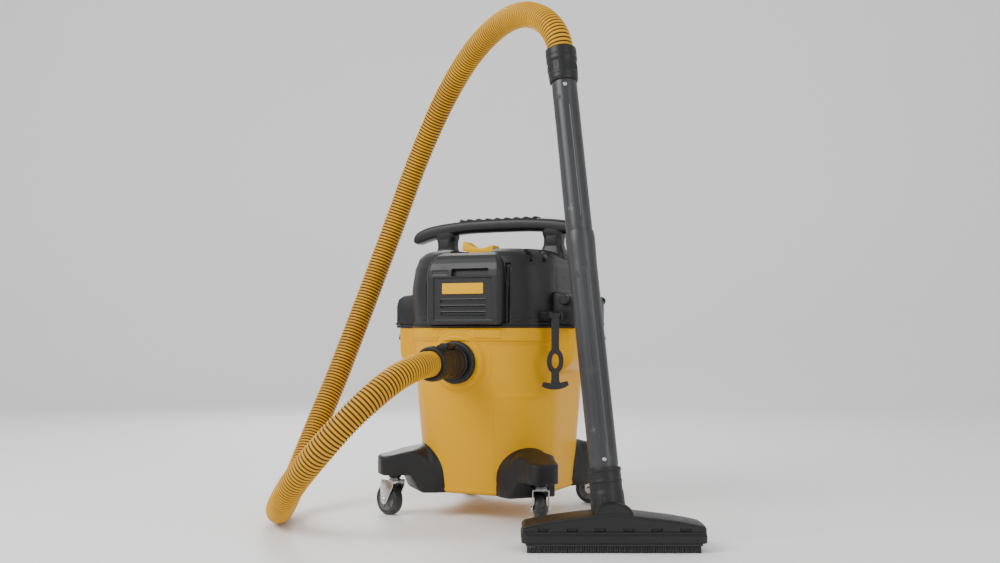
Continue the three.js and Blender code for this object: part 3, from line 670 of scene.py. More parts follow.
LEG = [(.0135, .0755), (-.0255, .0755), (-.0290, .0600)] + [
    (-CASTER_TRAIL + .0098 * math.cos(math.radians(a)),
     WHEEL_RADIUS + .0098 * math.sin(math.radians(a)))
    for a in range(165, 331, 11)] + [(.0115, .0620)]
for corner, sx, sy, swivel in CORNERS:
    stand = Matrix.Translation((sx * CASTER_OUT, sy * CASTER_OUT, 0)) @ Matrix.Rotation(
        math.radians(swivel), 4, "Z")
    axle = (stand @ Matrix.Translation((-CASTER_TRAIL, 0, WHEEL_RADIUS))
            @ Matrix.Rotation(-math.pi / 2, 4, "X"))
    parts = [plate(LEG, -.0170, -.0150, .0006), plate(LEG, .0150, .0170, .0006)]
    parts.append(plate([(.0140, -.0168), (.0140, .0168), (-.0255, .0168), (-.0255, -.0168)],
                       .0736, .0762, .0008, "XY"))
    parts.append(turned(rounded([(0, .0745), (.0125, .0745), (.0125, .0775), (.0100, .0790),
                                 (.0100, .0802), (0, .0802)], .0006), 48))
    parts.append(turned([(0, .076), (.005, .076), (.005, .106), (0, .106)], 32))
    fit(piece("caster_fork_plated_" + corner, *[moved(p, stand) for p in parts]),
        "caster_" + corner, "zinc_plate", zinc, "caster_fork_" + corner)
    rivet = turned(rounded([
        (0, -.0200), (.0042, -.0200), (.0065, -.0185), (.0065, -.0173), (.0040, -.0173),
        (.0040, .0173), (.0065, .0173), (.0065, .0185), (.0042, .0200), (0, .0200)], .0005), 40)
    fit(piece("axle_rivet_" + corner, moved(rivet, axle)), "caster_" + corner, "steel", steel,
        "caster_axle_" + corner)
    tyre = turned(rounded([
        (.0235, -.0112), (.0290, -.0120), (.0322, -.0095), (.0330, -.0050), (.0330, .0050),
        (.0322, .0095), (.0290, .0120), (.0235, .0112), (.0235, -.0112)], .0016), 72)
    fit(piece("caster_tread_" + corner, moved(tyre, axle)), "wheel_" + corner, "caster_wheel",
        tread, "caster_wheel_" + corner)
    hub = turned(rounded([
        (.0043, -.0140), (.0080, -.0140), (.0090, -.0075), (.0215, -.0070), (.0236, -.0108),
        (.0236, .0108), (.0215, .0070), (.0090, .0075), (.0080, .0140), (.0043, .0140),
        (.0043, -.0140)], .0005), 60)
    spokes = [moved(plate([(.0085, -.009), (.0225, -.0095), (.0225, .0095), (.0085, .009)],
                          -.0009, .0009, .0004), Matrix.Rotation(math.radians(60 * k), 4, "Z"))
              for k in range(6)]
    fit(piece("caster_hub_" + corner, *[moved(p, axle) for p in [hub] + spokes]),
        "wheel_" + corner, "caster_wheel", hub_grey)

# ---- Head: rim plate, dome cover and gasket ----------------------------------------------------
# The motor head is a black moulded plate and skirt that drops on the rim over a rubber gasket, with
# a dome fixed on it. The dome has a bulged belly, sunk grip panels and corner vent slots.

HEAD_RIM = [(.1500, .4043), (.2085, .4043), (.2090, .4060), (.2090, .4450), (.2070, .4540),
            (.2015, .4630), (.1920, .4680), (.1500, .4740)]
SHELL = [(.4043, .1680, .109), (.430, .168, .109), (.480, .167, .108), (.525, .163, .104),
         (.545, .156, .098)]
DOME_SEGMENTS = 480
VENT_PLACES = (.135, .171)
BLOWER_Z = .480
LATCH_PIN_X, LATCH_PIN_Z = .218, .456
SWITCH_FLOOR_Z = .5500


def dome_relief(x, y, z, run):
    """Rim bead, front grooves, corner vents, sunk side panels and rear louvres, in metres."""
    bead = .0018 * (1 - step(z, .4095, .4115)) + .0010 * patch(run, z, -.6, .6, .4185, .4200, .001)
    grooves = -.0050 * (patch(run, z, -.0955, -.0885, .408, .505, .0015)
                        + patch(run, z, .0885, .0955, .408, .530, .0015))
    swell = .0035 * np.sin(math.pi * np.clip((z - .412) / .125, 0, 1)) ** 1.5 * step(
        np.abs(run), .0955, .130) * (1 - step(np.abs(run), .180, .205))
    panels = -.0020 * (patch(np.abs(run), z, .205, .400, .478, .535, .003))
    louvres = sum(-.0040 * patch(np.abs(run), z, .520, .640, level, level + .0045, .0012)
                  for level in (.420, .431, .442))
    port = np.where(y > 0, .0020 * (1 - step(np.hypot(x, z - BLOWER_Z), .046, .048)), 0)
    slots = sum(-.0085 * patch(run, z, s - .0052, s + .0052, .5335, .60, .0010) for s in VENT_PLACES)
    return bead + grooves + swell + panels + louvres + port + slots


dome_levels = levels_between(.4044, .421, .0008) + levels_between(.4225, .530, .0022)
dome_levels += levels_between(.5312, .5440, .0007)
dome = square_wall(SHELL, dome_levels, dome_relief, DOME_SEGMENTS)


CROWN = [(.545, .1560, .0980), (.5495, .1526, .0946), (.5535, .1483, .0903), (.5570, .1430, .0852),
         (.5600, .1365, .0787), (.5620, .1300, .0722), (.5629, .1240, .0662), (.5631, .1160, .0590)]


def crown_ring(z, half, corner):
    """A ring of the dome's top, cut down along the corner vents and in the switch's recess."""
    ring = square_level(z, half, corner, DOME_SEGMENTS)
    _, _, nx, ny, run = square_ring(half, corner, DOME_SEGMENTS).T
    run = run * CROWN[0][1] / half
    vents = sum(1 - step(np.abs(run - s), .0052, .0064) for s in VENT_PLACES)
    vents = vents * step(half, .1130, .1150)
    ring[:, 0] -= vents * .0085 * nx
    ring[:, 1] -= vents * .0085 * ny
    ring[:, 2] -= vents * .0110 * step(z, .546, .560)
    x, y = ring[:, 0], ring[:, 1]
    scoop = (1 - step(np.abs(x), .0440, .0480)) * (1 - step(y, -.0775, -.0745))
    ring[:, 2] -= scoop * np.maximum(ring[:, 2] - SWITCH_FLOOR_Z, 0)
    return ring


crown_rows = np.array(CROWN)
for t in np.linspace(0, len(CROWN) - 1, 44):
    dome.append(crown_ring(*[np.interp(t, range(len(CROWN)), crown_rows[:, k]) for k in range(3)]))
top_steps = [(.5631, .1080), (.5618, .1076), (.5617, .1050)]
top_steps += [(.5617, half) for half in np.arange(.1020, .0660, -.0018)]
top_panel = [crown_ring(z, half, half - .053) for z, half in top_steps]
lining = square_wall([(.4044, .1610, .104), (.480, .161, .104), (.525, .157, .1), (.545, .140, .083),
                      (.5545, .110, .06)], [.5545, .535, .525, .480, .4044], None, DOME_SEGMENTS)


def open_ring(rings):
    """Rings skinned end to end and joined back to the first, with no caps."""
    points, faces = skin(rings, caps=False)
    count = len(rings[0])
    last = (len(rings) - 1) * count
    return points, faces + [(last + j, last + (j + 1) % count, (j + 1) % count, j)
                            for j in range(count)]


shell_points, shell_faces = skin(lining + dome + top_panel, caps=False)
shell_last = len(shell_points) - DOME_SEGMENTS
shell_faces += [tuple(range(shell_last, len(shell_points))), tuple(range(DOME_SEGMENTS))[::-1]]
cover_parts = [(shell_points, shell_faces)]
for side in (-1, 1):
    wing = plate(HEAD_RIM, -.092, .092, .0035)
    wing_lip = plate([(.196, .4043), (.2102, .4043), (.2102, .4100), (.196, .4100)],
                     -.0925, .0925, .0010)
    cover_parts += [wing, wing_lip] if side > 0 else [mirrored(wing), mirrored(wing_lip)]
    for y in (-.050, .050):
        lug = plate([(.195, .447), (.195, .465), (.2140, .4650)] + [
            (LATCH_PIN_X + .009 * math.cos(a), LATCH_PIN_Z + .009 * math.sin(a))
            for a in np.linspace(math.radians(80), math.radians(-80), 11)] + [(.214, .447)],
            y - .004, y + .004, .0008)
        cover_parts.append(lug if side > 0 else mirrored(lug))
knob = turned(rounded([(0, -.104), (.0088, -.104), (.0105, -.1020), (.0110, -.0990), (.0110, -.085),
                       (0, -.085)], .0006), 48)
knob_face = turned(rounded([(.0050, -.1046), (.0066, -.1046), (.0066, -.1036), (.0050, -.1036),
                            (.0050, -.1046)], .0002), 40)
to_knob = Matrix.Translation((.190, 0, .456)) @ Matrix.Rotation(-math.pi / 2, 4, "X")
cover_parts += [moved(knob, to_knob), moved(knob_face, to_knob)]
fit(piece("dome_cover", *cover_parts, sharp=45), "head", "black_plastic", black, "head_cover")

rim_levels = [(.3985, .1690, .1090), (.3992, .1702, .1102), (.4000, .1710, .1110),
              (.4025, .1710, .1110), (.4035, .1702, .1102), (.4040, .1690, .1090)]
RIM_SEGMENTS = 240
rim = [square_level(*row, RIM_SEGMENTS) for row in rim_levels]
wing_plates = [plate([(-.209, -.090), (-.209, .090), (-.150, .090), (-.150, -.090)],
                     .3984, .4040, .0012, "XY")]
wing_plates.append(mirrored(wing_plates[0]))
skirt = open_ring([square_level(*row, RIM_SEGMENTS) for row in (
    (.3985, .1555, .100), (.3840, .1555, .100), (.3822, .1545, .099), (.3820, .1520, .097),
    (.3835, .1512, .096), (.3985, .1512, .096))])
fit(piece("rim_plate", skin(rim), *wing_plates, skirt, sharp=45), "head", "black_plastic", black,
    "head_base")


def rubber(name, colour, roughness=0.72):
    """Matt black rubber with a dusty bloom and a fine grain."""
    material, place, shader = new_material(name)
    bloom = place.noise(30.0, 6.0).over(0.45, 0.75)
    connect(shader, Base_Color=(bloom * 0.6).mix(colour, tuple(c * 1.8 for c in colour)),
            Roughness=roughness + bloom * 0.1, Normal=place.noise(900.0, 3.0).bump(0.0003, 0.5))
    return material


grip_rubber = rubber("rubber_grip", (0.010, 0.010, 0.0105))
dress(grip_rubber, "tank_gasket")

# ---- Front panel and badge ---------------------------------------------------------------------
# A charcoal moulding clipped over the front of the dome: an arched face with a sunk field, a dark
# slot above it and three louvres below a plain yellow badge plate that is glued in.

PANEL_SIDE = [(-.1400, .4046), (-.1815, .4046), (-.1830, .4065), (-.1830, .5050), (-.1818, .5180),
              (-.1775, .5310), (-.1715, .5410), (-.1640, .5480), (-.1560, .5520), (-.1480, .5540),
              (-.1400, .5550)]


def along_profile(profile, count):
    """Points at equal steps along an open (a, b) profile."""
    profile = np.array(profile)
    return along(profile, np.linspace(0, np.linalg.norm(np.diff(profile, axis=0), axis=1).sum(), count))


PANEL_ACROSS, PANEL_UP = 150, 150
PANEL_SPREAD = math.pi / 2 * .93
PANEL_LOUVRES = (.427, .440, .453)
side_line = along_profile(PANEL_SIDE[1:], PANEL_UP)
rows = []
for k, (y, z) in enumerate(side_line):
    tangent = side_line[min(k + 1, PANEL_UP - 1)] - side_line[max(k - 1, 0)]
    out = np.array([-tangent[1], tangent[0]]) / np.linalg.norm(tangent)
    rise = min(max((z - .496) / .0595, 0), 1)
    half = .0860 - .0230 * (1 - math.sqrt(1 - rise ** 2.4))
    x = half * np.sin(np.linspace(-1, 1, PANEL_ACROSS) * PANEL_SPREAD) / math.sin(PANEL_SPREAD)
    edge = np.clip((half - np.abs(x)) / .0100, 0, 1)
    fall = -.0062 * (1 - edge) ** 2.2
    relief = -.0020 * patch(x, z, -.066, .066, .414, .500, .0015)
    for level in PANEL_LOUVRES:
        relief += -.0030 * patch(x, z, -.050, .050, level - .0025, level + .0025, .0008)
        relief += .0006 * patch(x, z, -.052, .052, level - .0042, level + .0042, .0008)
    relief += -.0100 * patch(x, z, -.024, .057, .5055, .5185, .0008)
    relief += -.0012 * patch(x, z, -.070, -.036, .508, .516, .001)
    rows.append(np.stack([x, y + out[0] * (fall + relief), z + out[1] * (fall + relief)], axis=1))
grid_points = np.concatenate(rows)
panel_faces = [(i * PANEL_ACROSS + j, i * PANEL_ACROSS + j + 1, (i + 1) * PANEL_ACROSS + j + 1,
                (i + 1) * PANEL_ACROSS + j) for i in range(PANEL_UP - 1) for j in range(PANEL_ACROSS - 1)]
edge_loop = (list(range(PANEL_ACROSS))
             + [i * PANEL_ACROSS + PANEL_ACROSS - 1 for i in range(1, PANEL_UP)]
             + [(PANEL_UP - 1) * PANEL_ACROSS + j for j in range(PANEL_ACROSS - 2, -1, -1)]
             + [i * PANEL_ACROSS for i in range(PANEL_UP - 2, 0, -1)])
sunk = grid_points[edge_loop]
sunk[:, 1] = np.maximum(sunk[:, 1] + .016, -.1560)
sunk[:, 2] = np.clip(sunk[:, 2], .4046, .5500)
base_index = len(grid_points)
panel_points = np.concatenate([grid_points, sunk])
ring_count = len(edge_loop)
panel_faces += [(edge_loop[(j + 1) % ring_count], edge_loop[j], base_index + j,
                 base_index + (j + 1) % ring_count) for j in range(ring_count)]
panel_faces.append(tuple(base_index + j for j in range(ring_count))[::-1])
fit(piece("front_cowl", (panel_points, panel_faces), sharp=38), "head", "charcoal_plastic", charcoal,
    "front_panel")

badge_yellow = moulded("badge_yellow", (0.80, 0.42, 0.0), 0.34, 0.9, 0.00008, 0.16)
badge = plate([(-.0470, .4695), (-.0455, .4680), (.0455, .4680), (.0470, .4695), (.0470, .4885),
               (.0455, .4900), (-.0455, .4900), (-.0470, .4885)], -.1828, -.1813, .0005)
badge_rim = [plate([(-.0450, z), (.0450, z), (.0450, z + .0010), (-.0450, z + .0010)],
                   -.1832, -.1826, .0002) for z in (.4700, .4870)]
fit(piece("badge", badge, *badge_rim), "head", "badge_yellow", badge_yellow, "badge_plate")

# ---- Carry handle and grip ---------------------------------------------------------------------
# One thick black moulding stands on two flared posts on the dome. Its ends turn down like hooks,
# and a wavy rubber pad lies along its top.

HANDLE_TOP = [(0, .6380), (.040, .6378), (.070, .6368), (.110, .6342), (.150, .6298), (.178, .6238),
              (.196, .6165), (.2045, .6095), (.2090, .6020)]
HANDLE_UNDER = [(0, .6085), (.070, .6078), (.110, .6050), (.150, .5995), (.178, .5935), (.196, .5885),
                (.2045, .5872), (.2090, .5885)]


def eased(points, per_span=5):
    """An open (a, b) line with its corners eased by a spline."""
    flat_line = np.column_stack([np.array(points, float), np.zeros(len(points))])
    return [tuple(p) for p in smooth_line(flat_line, per_span)[:, :2]]


def super_ring(half_a, half_b, power, count=40):
    """Points (a, b) round an oval that is squarer the higher its power is."""
    turn = np.linspace(0, 2 * math.pi, count, endpoint=False)
    c, s = np.cos(turn), np.sin(turn)
    return np.stack([half_a * np.sign(c) * np.abs(c) ** (2 / power),
                     half_b * np.sign(s) * np.abs(s) ** (2 / power)], axis=1)


top_line, under_line = np.array(eased(HANDLE_TOP, 6)), np.array(eased(HANDLE_UNDER, 6))
bow_rings = []
HANDLE_END, HANDLE_TAPER = .2092, .199
bow_end = np.linspace(HANDLE_TAPER, HANDLE_END, 12)
for x in np.concatenate([-bow_end[::-1], np.linspace(-.196, .196, 90), bow_end]):
    top, low = (np.interp(abs(x), line[:, 0], line[:, 1]) for line in (top_line, under_line))
    end = math.sqrt(max(1 - max((abs(x) - HANDLE_TAPER) / .0103, 0) ** 2, .02))
    seat = .0062 * step(.0925 - abs(x), 0, .003)
    ring = []
    for y, z in super_ring(.0210 * (0.55 + 0.45 * end), (top - low) / 2 * (0.35 + 0.65 * end), 3.2, 48):
        level = (top + low) / 2 + z
        if seat and abs(y) < .0178:
            level = min(level, top - seat)
        ring.append((x, y, level))
    bow_rings.append(ring)
post_rings = []
for z in np.linspace(.5450, .6120, 26):
    flare = (1 - step(z, .550, .580)) * .010 + .004 * step(z, .588, .604)
    cx = .1285 + .0015 * (z - .58) / .03
    ring = super_ring(.0205 + flare, .0180 + flare * .6, 4.0, 48)
    post_rings.append([(cx + a, b, z) for a, b in ring])
post = skin(post_rings)
handle_parts = [skin(bow_rings), post, mirrored(post)]
for side in (-1, 1):
    for y in (-.0186, .0186):
        rib = plate([(.1170, .574), (.1405, .574), (.1400, .600), (.1175, .600)],
                    y - .0004, y + .0004, .0003)
        handle_parts.append(rib if side > 0 else mirrored(rib))
fit(piece("carry_handle_bow", *handle_parts, sharp=50), "head", "black_plastic", black,
    "carry_handle")

wave = [(x, .6374 + .0019 * math.cos(x / .091 * 8 * math.pi)) for x in np.linspace(.0905, -.0905, 130)]
pad = plate([(-.091, .6310), (.091, .6310)] + wave, -.0168, .0168, .0010)
fit(piece("grip_pad", pad), "head", "rubber_black", grip_rubber, "handle_grip")

# ---- Power switch ------------------------------------------------------------------------------
# A big yellow rocker, scooped in the middle and standing high at its left end, turns on stub pins
# in a black moulded well in front of the handle.

to_switch = Matrix.Translation((0, -.099, .555)) @ Matrix.Rotation(math.radians(8), 4, "Y")
rocker_half = [(.0360, .0165), (.0345, .0205), (.0315, .0212), (.0260, .0190), (.0150, .0135)]
rocker_top = eased(rocker_half + [(0, .0118)] + [(-x, z) for x, z in rocker_half[::-1]], 6)
rocker = plate([(-.0360, .0030), (0, -.0040), (.0360, .0030)] + rocker_top, -.017, .017, .0018, "XZ", 4)
pins = moved(turned([(0, -.0205), (.0020, -.0205), (.0020, .0205), (0, .0205)], 24),
             Matrix.Rotation(-math.pi / 2, 4, "X"))
grips = [plate([(x - .0006, .0120), (x + .0006, .0120), (x + .0006, .0155 + k * .0008),
                (x - .0006, .0155 + k * .0008)], -.012, .012, .0004)
         for k, x in enumerate((.0200, .0226, .0252))]
switch_yellow = moulded("switch_yellow", (0.86, 0.46, 0.0), 0.32, 0.92, 0.00006, 0.2)
fit(piece("rocker", *[moved(p, to_switch) for p in [rocker, pins] + grips]), "switch",
    "switch_yellow", switch_yellow, "power_switch")
well_walls = [
    plate([(-.0420, .520), (-.0420, .5585), (-.0405, .5600), (-.0385, .5600), (-.0385, .520)],
          -.121, -.077, .0008),
    plate([(.0385, .520), (.0385, .5600), (.0405, .5600), (.0420, .5585), (.0420, .520)],
          -.121, -.077, .0008),
    plate([(-.042, .520), (-.042, .5540), (.042, .5540), (.042, .520)], -.121, -.1180, .0008),
    plate([(-.042, .520), (-.042, .5665), (.042, .5665), (.042, .520)], -.0800, -.077, .0008),
    plate([(-.042, .520), (-.042, .5455), (.042, .5455), (.042, .520)], -.121, -.077, .0008)]
fit(piece("switch_well", *well_walls), "head", "black_plastic", black, "switch_body")

# ---- Latches -----------------------------------------------------------------------------------
# A wide charcoal lever hangs on a steel pin at each side of the head. Its toe hooks under the bead
# on the tub's shoulder, and finger ribs run across its lower end.

LEVER = [(.2105, .3770), (.2150, .3752), (.2220, .3740), (.2270, .3715), (.2290, .3712), (.2306, .3735),
         (.2300, .3780), (.2272, .3850), (.2262, .3920), (.2260, .4500), (.2256, .4560), (.2238, .4610),
         (.2200, .4634), (.2150, .4630), (.2113, .4600), (.2105, .4560), (.2118, .4500), (.2135, .4450),
         (.2135, .3850), (.2118, .3832), (.2105, .3830)]
for side, way in ((1, "right"), (-1, "left")):
    lever_parts = [plate(LEVER, -.045, .045, .0012)]
    lever_parts += [plate([(.2255, z), (.2274, z + .0006), (.2274, z + .0020), (.2255, z + .0026)],
                          -.036, .036, .0003) for z in (.392, .3985, .405, .4115)]
    lever_parts += [plate([(.2255, .420), (.2268, .421), (.2268, .447), (.2255, .448)],
                          y - .0015, y + .0015, .0004) for y in (-.030, .030)]
    if side < 0:
        lever_parts = [mirrored(p) for p in lever_parts]
    fit(piece("latch_lever_" + way, *lever_parts), "latch_" + way, "charcoal_plastic", charcoal,
        "latch_" + way)
    pin = moved(turned(rounded([(0, -.054), (.0025, -.054), (.0025, .054), (0, .054)], .0006), 24),
                Matrix.Translation((side * LATCH_PIN_X, 0, LATCH_PIN_Z))
                @ Matrix.Rotation(-math.pi / 2, 4, "X"))
    fit(piece("hinge_pin_" + way, pin), "head", "steel", steel, "latch_pin_" + way)

# ---- Tool strap --------------------------------------------------------------------------------
# A stretchy black rubber strap hangs from an anchor on the head's front corner. It has a ring in
# the middle and a T-bar at its end, and it swings on a pin.

strap_place = Matrix.Translation((.060, -.060, 0)) @ Matrix.Rotation(math.radians(62), 4, "Z")
strap_skin = rubber("rubber_strap", (0.0085, 0.0085, 0.009), 0.58)


def flat_bar(centres, halves, half_depths, corner=24):
    """A bar along a line in its own XZ plane: an oval section with its own half-width and depth."""
    centres = np.array(centres, float)
    rings = []
    for k, (x, y, z) in enumerate(centres):
        ahead = centres[min(k + 1, len(centres) - 1)] - centres[max(k - 1, 0)]
        ahead /= np.linalg.norm(ahead)
        width = np.array([ahead[2], 0, -ahead[0]]) if abs(ahead[1]) < .9 else np.array([1.0, 0, 0])
        width /= np.linalg.norm(width)
        depth = np.cross(ahead, width)
        ring = []
        for a in np.linspace(0, 2 * math.pi, corner, endpoint=False):
            c, s = math.cos(a), math.sin(a)
            ring.append(centres[k] + width * halves[k] * math.copysign(abs(c) ** .55, c)
                        + depth * half_depths[k] * math.copysign(abs(s) ** .55, s))
        rings.append(ring)
    return skin(rings)


OUT, RING_Z, PIVOT_Z = -.138, .331, .424
RING_ACROSS, RING_TALL = .0158, .0205
upper_z = np.linspace(.4235, .3520, 16)
upper = flat_bar([(0, OUT, z) for z in upper_z],
                 np.interp(upper_z, [.352, .366, .4235], [.0100, .0092, .0105]), [.0024] * len(upper_z))
lower_z = np.linspace(.3105, .2800, 8)
lower = flat_bar([(0, OUT, z) for z in lower_z],
                 np.interp(lower_z, [.280, .292, .3105], [.0150, .0100, .0100]), [.0024] * len(lower_z))
ring_rings = []
for a in np.linspace(0, 2 * math.pi, 72, endpoint=False):
    cx, cz = math.cos(a), math.sin(a)
    middle = np.array([RING_ACROSS * cx, OUT, RING_Z + RING_TALL * cz])
    away = np.array([cx / RING_ACROSS, 0, cz / RING_TALL])
    away /= np.linalg.norm(away)
    ring_rings.append([middle + away * .0055 * math.copysign(abs(math.cos(b)) ** .6, math.cos(b))
                       + np.array([0, 1, 0]) * .0025 * math.copysign(abs(math.sin(b)) ** .6, math.sin(b))
                       for b in np.linspace(0, 2 * math.pi, 20, endpoint=False)])
hook_ring = open_ring([np.array(r) for r in ring_rings])
bar_x = np.linspace(-.0325, .0325, 25)
t_bar = flat_bar([(x, OUT - .0002, .2795 + .0055 * (x / .0325) ** 2) for x in bar_x],
                 np.interp(np.abs(bar_x), [0, .024, .0325], [.0066, .0062, .0048]), [.0025] * 25)
to_pivot = Matrix.Translation((0, OUT, PIVOT_Z)) @ Matrix.Rotation(math.pi / 2, 4, "Y")
eye = moved(turned(rounded([(.0023, -.010), (.005, -.010), (.005, .010), (.0023, .010), (.0023, -.010)],
                           .0005), 36), to_pivot)
fit(piece("tie_strap", *[moved(p, strap_place) for p in (upper, lower, hook_ring, t_bar, eye)], sharp=60),
    "strap", "rubber_black", strap_skin, "tool_strap")
anchor = [plate([(-.1320, .4165), (-.1330, .4300), (-.0900, .4320), (-.0900, .4160)],
                -.017, .017, .0022, "YZ")]
for side in (-1, 1):
    anchor.append(plate([(-.1440, .4195), (-.1440, .4285), (-.1415, .4310), (-.1280, .4310), (-.1280, .4170),
                         (-.1415, .4170)], side * .014 - .003, side * .014 + .003, .0010, "YZ"))
anchor.append(moved(turned([(0, -.0165), (.0018, -.0165), (.0018, .0165), (0, .0165)], 20), to_pivot))
fit(piece("strap_bracket", *[moved(p, strap_place) for p in anchor]), "head", "black_plastic", black,
    "strap_anchor")

# ---- Motor, fan, blower port and filter --------------------------------------------------------
# Under the dome a steel motor can stands on a pressed fan housing, and the exhaust leaves through a
# black port at the back. A pleated paper cartridge with rubber ends hangs from the head over a
# float cage. All but the port keep their CAD shapes and get their finishes here.


def paper():
    material, place, shader = new_material("filter_paper")
    fibre = place.noise(320.0, 8.0)
    dust = place.noise(14.0, 5.0).over(0.40, 0.75)
    connect(shader, Base_Color=(dust * 0.55).mix((0.62, 0.60, 0.54), (0.36, 0.33, 0.28)),
            Roughness=0.88, Normal=fibre.bump(0.0006, 0.7))
    return material


def copper_windings():
    material, place, shader = new_material("copper_windings")
    turns = place.add("TexWave", {"bands_direction": "Z"}, out="Fac", Vector=place, Scale=160.0,
                      Distortion=0.6)
    connect(shader, Base_Color=turns.mix((0.16, 0.045, 0.015), (0.52, 0.20, 0.08)), Metallic=0.9,
            Roughness=0.34 + turns * 0.1, Normal=turns.bump(0.0006, 0.8))
    return material


white_plastic = moulded("white_plastic", (0.60, 0.60, 0.57), 0.45, 0.85)
dress(steel, "fan_housing", "motor_can", "motor_shaft")
dress(zinc, "motor_stator", "impeller")
dress(copper_windings(), "motor_armature")
dress(white_plastic, "cooling_fan", "float_ball")
dress(black, "filter_cage", "filter_retainer")
dress(paper(), "filter_cartridge")

BLOWER_AXIS = Matrix.Translation((0, 0, BLOWER_Z)) @ Matrix.Rotation(-math.pi / 2, 4, "X")
blower = turned(rounded([
    (.0270, .158), (.0310, .158), (.0310, .1685), (.0360, .1690), (.0360, .1740), (.0335, .1750),
    (.0310, .1752), (.0310, .1800), (.0318, .1806), (.0318, .1826), (.0310, .1832), (.0310, .190),
    (.0270, .190), (.0270, .158)], .0007))
fit(piece("exhaust_port", moved(blower, BLOWER_AXIS)), "head", "black_plastic", black, "blower_port")

# ---- Wand --------------------------------------------------------------------------------------
# Two charcoal plastic tubes push together and stand on the nozzle in front of the machine, tilted
# back towards it. They have flat flutes, a thick coupling in the middle, and two sprung buttons.

WAND_FOOT, WAND_TOP = Vector((.3695, -.313, 0)), Vector((.223, -.199, .940))
wand_along = (WAND_TOP - WAND_FOOT).normalized()
WAND_FACING = .436
toward = Vector((math.sin(WAND_FACING), -math.cos(WAND_FACING), 0))
wand_front = (toward - wand_along * toward.dot(wand_along)).normalized()
wand_side = wand_along.cross(-wand_front).normalized()
WAND_LINE = Matrix.Translation(WAND_FOOT) @ Matrix((
    (wand_side.x, -wand_front.x, wand_along.x, 0), (wand_side.y, -wand_front.y, wand_along.y, 0),
    (wand_side.z, -wand_front.z, wand_along.z, 0), (0, 0, 0, 1)))
WAND_LENGTH = (WAND_TOP - WAND_FOOT).length


def wand_plastic():
    """Satin charcoal plastic with long drawn streaks and rub marks where the tubes slide."""
    material, place, shader = new_material("wand_charcoal")
    streaks = place.add("Mapping", Vector=place, Scale=(1.0, 1.0, 0.06)).noise(90.0, 5.0)
    cloud = place.noise(5.0, 2.0).over(0.3, 0.7)
    rubs = place.noise(26.0, 7.0).over(0.60, 0.72)
    tone = cloud.mix((0.024, 0.025, 0.027), (0.032, 0.033, 0.036))
    connect(shader, Base_Color=(rubs * 0.25).mix(tone, (0.055, 0.055, 0.057)),
            Roughness=0.36 + rubs * 0.10 + (streaks - 0.5) * 0.06,
            Normal=(streaks + place.noise(1200.0, 2.0) * 0.5).bump(0.00008, 0.5))
    return material


charcoal_wand = wand_plastic()


def fluted_tube(outer, inner, start, end, flutes, depth=.0014, segments=160):
    """A tube with a flat flute down it at each given turn, from one distance to another."""
    levels = sorted({start, end, *[f + o for _, low, high in flutes
                                   for f in (low, high) for o in (-.012, -.006, 0, .006, .012)
                                   if start < f + o < end], *np.linspace(start, end, 40)})
    turns = np.linspace(0, 2 * math.pi, segments, endpoint=False)
    rings = []
    for s in levels:
        ring = []
        for a in turns:
            r = np.interp(s, *zip(*outer))
            for turn, low, high in flutes:
                near = abs((a - math.radians(turn) + math.pi) % (2 * math.pi) - math.pi)
                ends = step(s, low - .010, low) * (1 - step(s, high, high + .010))
                r -= depth * (1 - step(near, .17, .21)) * ends
            ring.append((r * math.cos(a), r * math.sin(a), s))
        rings.append(ring)
    hole = [[(r * math.cos(a), r * math.sin(a), s) for a in turns] for r, s in reversed(inner)]
    return open_ring([np.array(ring) for ring in rings + hole])


flutes_low = [(-125, .180, .500), (-90, .200, .520), (-55, .220, .500), (55, .18, .5), (90, .18, .5),
              (125, .18, .5)]
lower_tube = fluted_tube(
    [(.104, .0250), (.106, .0255), (.145, .0255), (.150, .0268), (.536, .0268), (.541, .0272),
     (.546, .0280), (.550, .0280), (.5505, .0275), (.553, .0275), (.5535, .0280), (.586, .0280),
     (.588, .0276), (.590, .0268)],
    [(.0225, .104), (.0225, .5475), (.0246, .5485), (.0246, .590)], .104, .590, flutes_low)
fit(piece("wand_tube_lower", moved(lower_tube, WAND_LINE), sharp=35), "base", "wand_plastic",
    charcoal_wand, "wand_lower")
flutes_high = [(-125, .640, .850), (-90, .620, .838), (-55, .640, .850), (55, .62, .85), (90, .62, .85),
               (125, .62, .85)]
upper_tube = fluted_tube(
    [(.5485, .0242), (.5910, .0242), (.5915, .0250), (.889, .0250), (.890, .0235), (.924, .0235)],
    [(.0215, .5485), (.0215, .924)], .5485, .924, flutes_high)
fit(piece("wand_tube_upper", moved(upper_tube, WAND_LINE), sharp=35), "base", "wand_plastic",
    charcoal_wand, "wand_upper")
end = WAND_LENGTH
CUFF_RIBS = 24
top_cuff = turned(rounded([
    (.0240, .8903), (.0270, .8903), (.0285, .8960), (.0285, .9030), (.0292, .9040), (.0292, .9075),
    (.0285, .9085), (.0285, end - .030), (.0305, end - .024), (.0305, end - .018), (.0298, end - .0172),
    (.0298, end - .0150), (.0305, end - .0142), (.0305, end - .002), (.0290, end), (.0276, end),
    (.0276, .926), (.0240, .926), (.0240, .8903)], .0007), 96)
cuff_ribs = []
for k in range(CUFF_RIBS):
    rib = plate([(.0280, .9100), (.0294, .9110), (.0294, end - .0340), (.0280, end - .0310)],
                -.0009, .0009, .0004)
    cuff_ribs.append(moved(rib, Matrix.Rotation(2 * math.pi * k / CUFF_RIBS, 4, "Z")))
fit(piece("wand_hose_cuff", *[moved(p, WAND_LINE) for p in [top_cuff] + cuff_ribs]), "base",
    "black_plastic", black, "hose_cuff_wand")
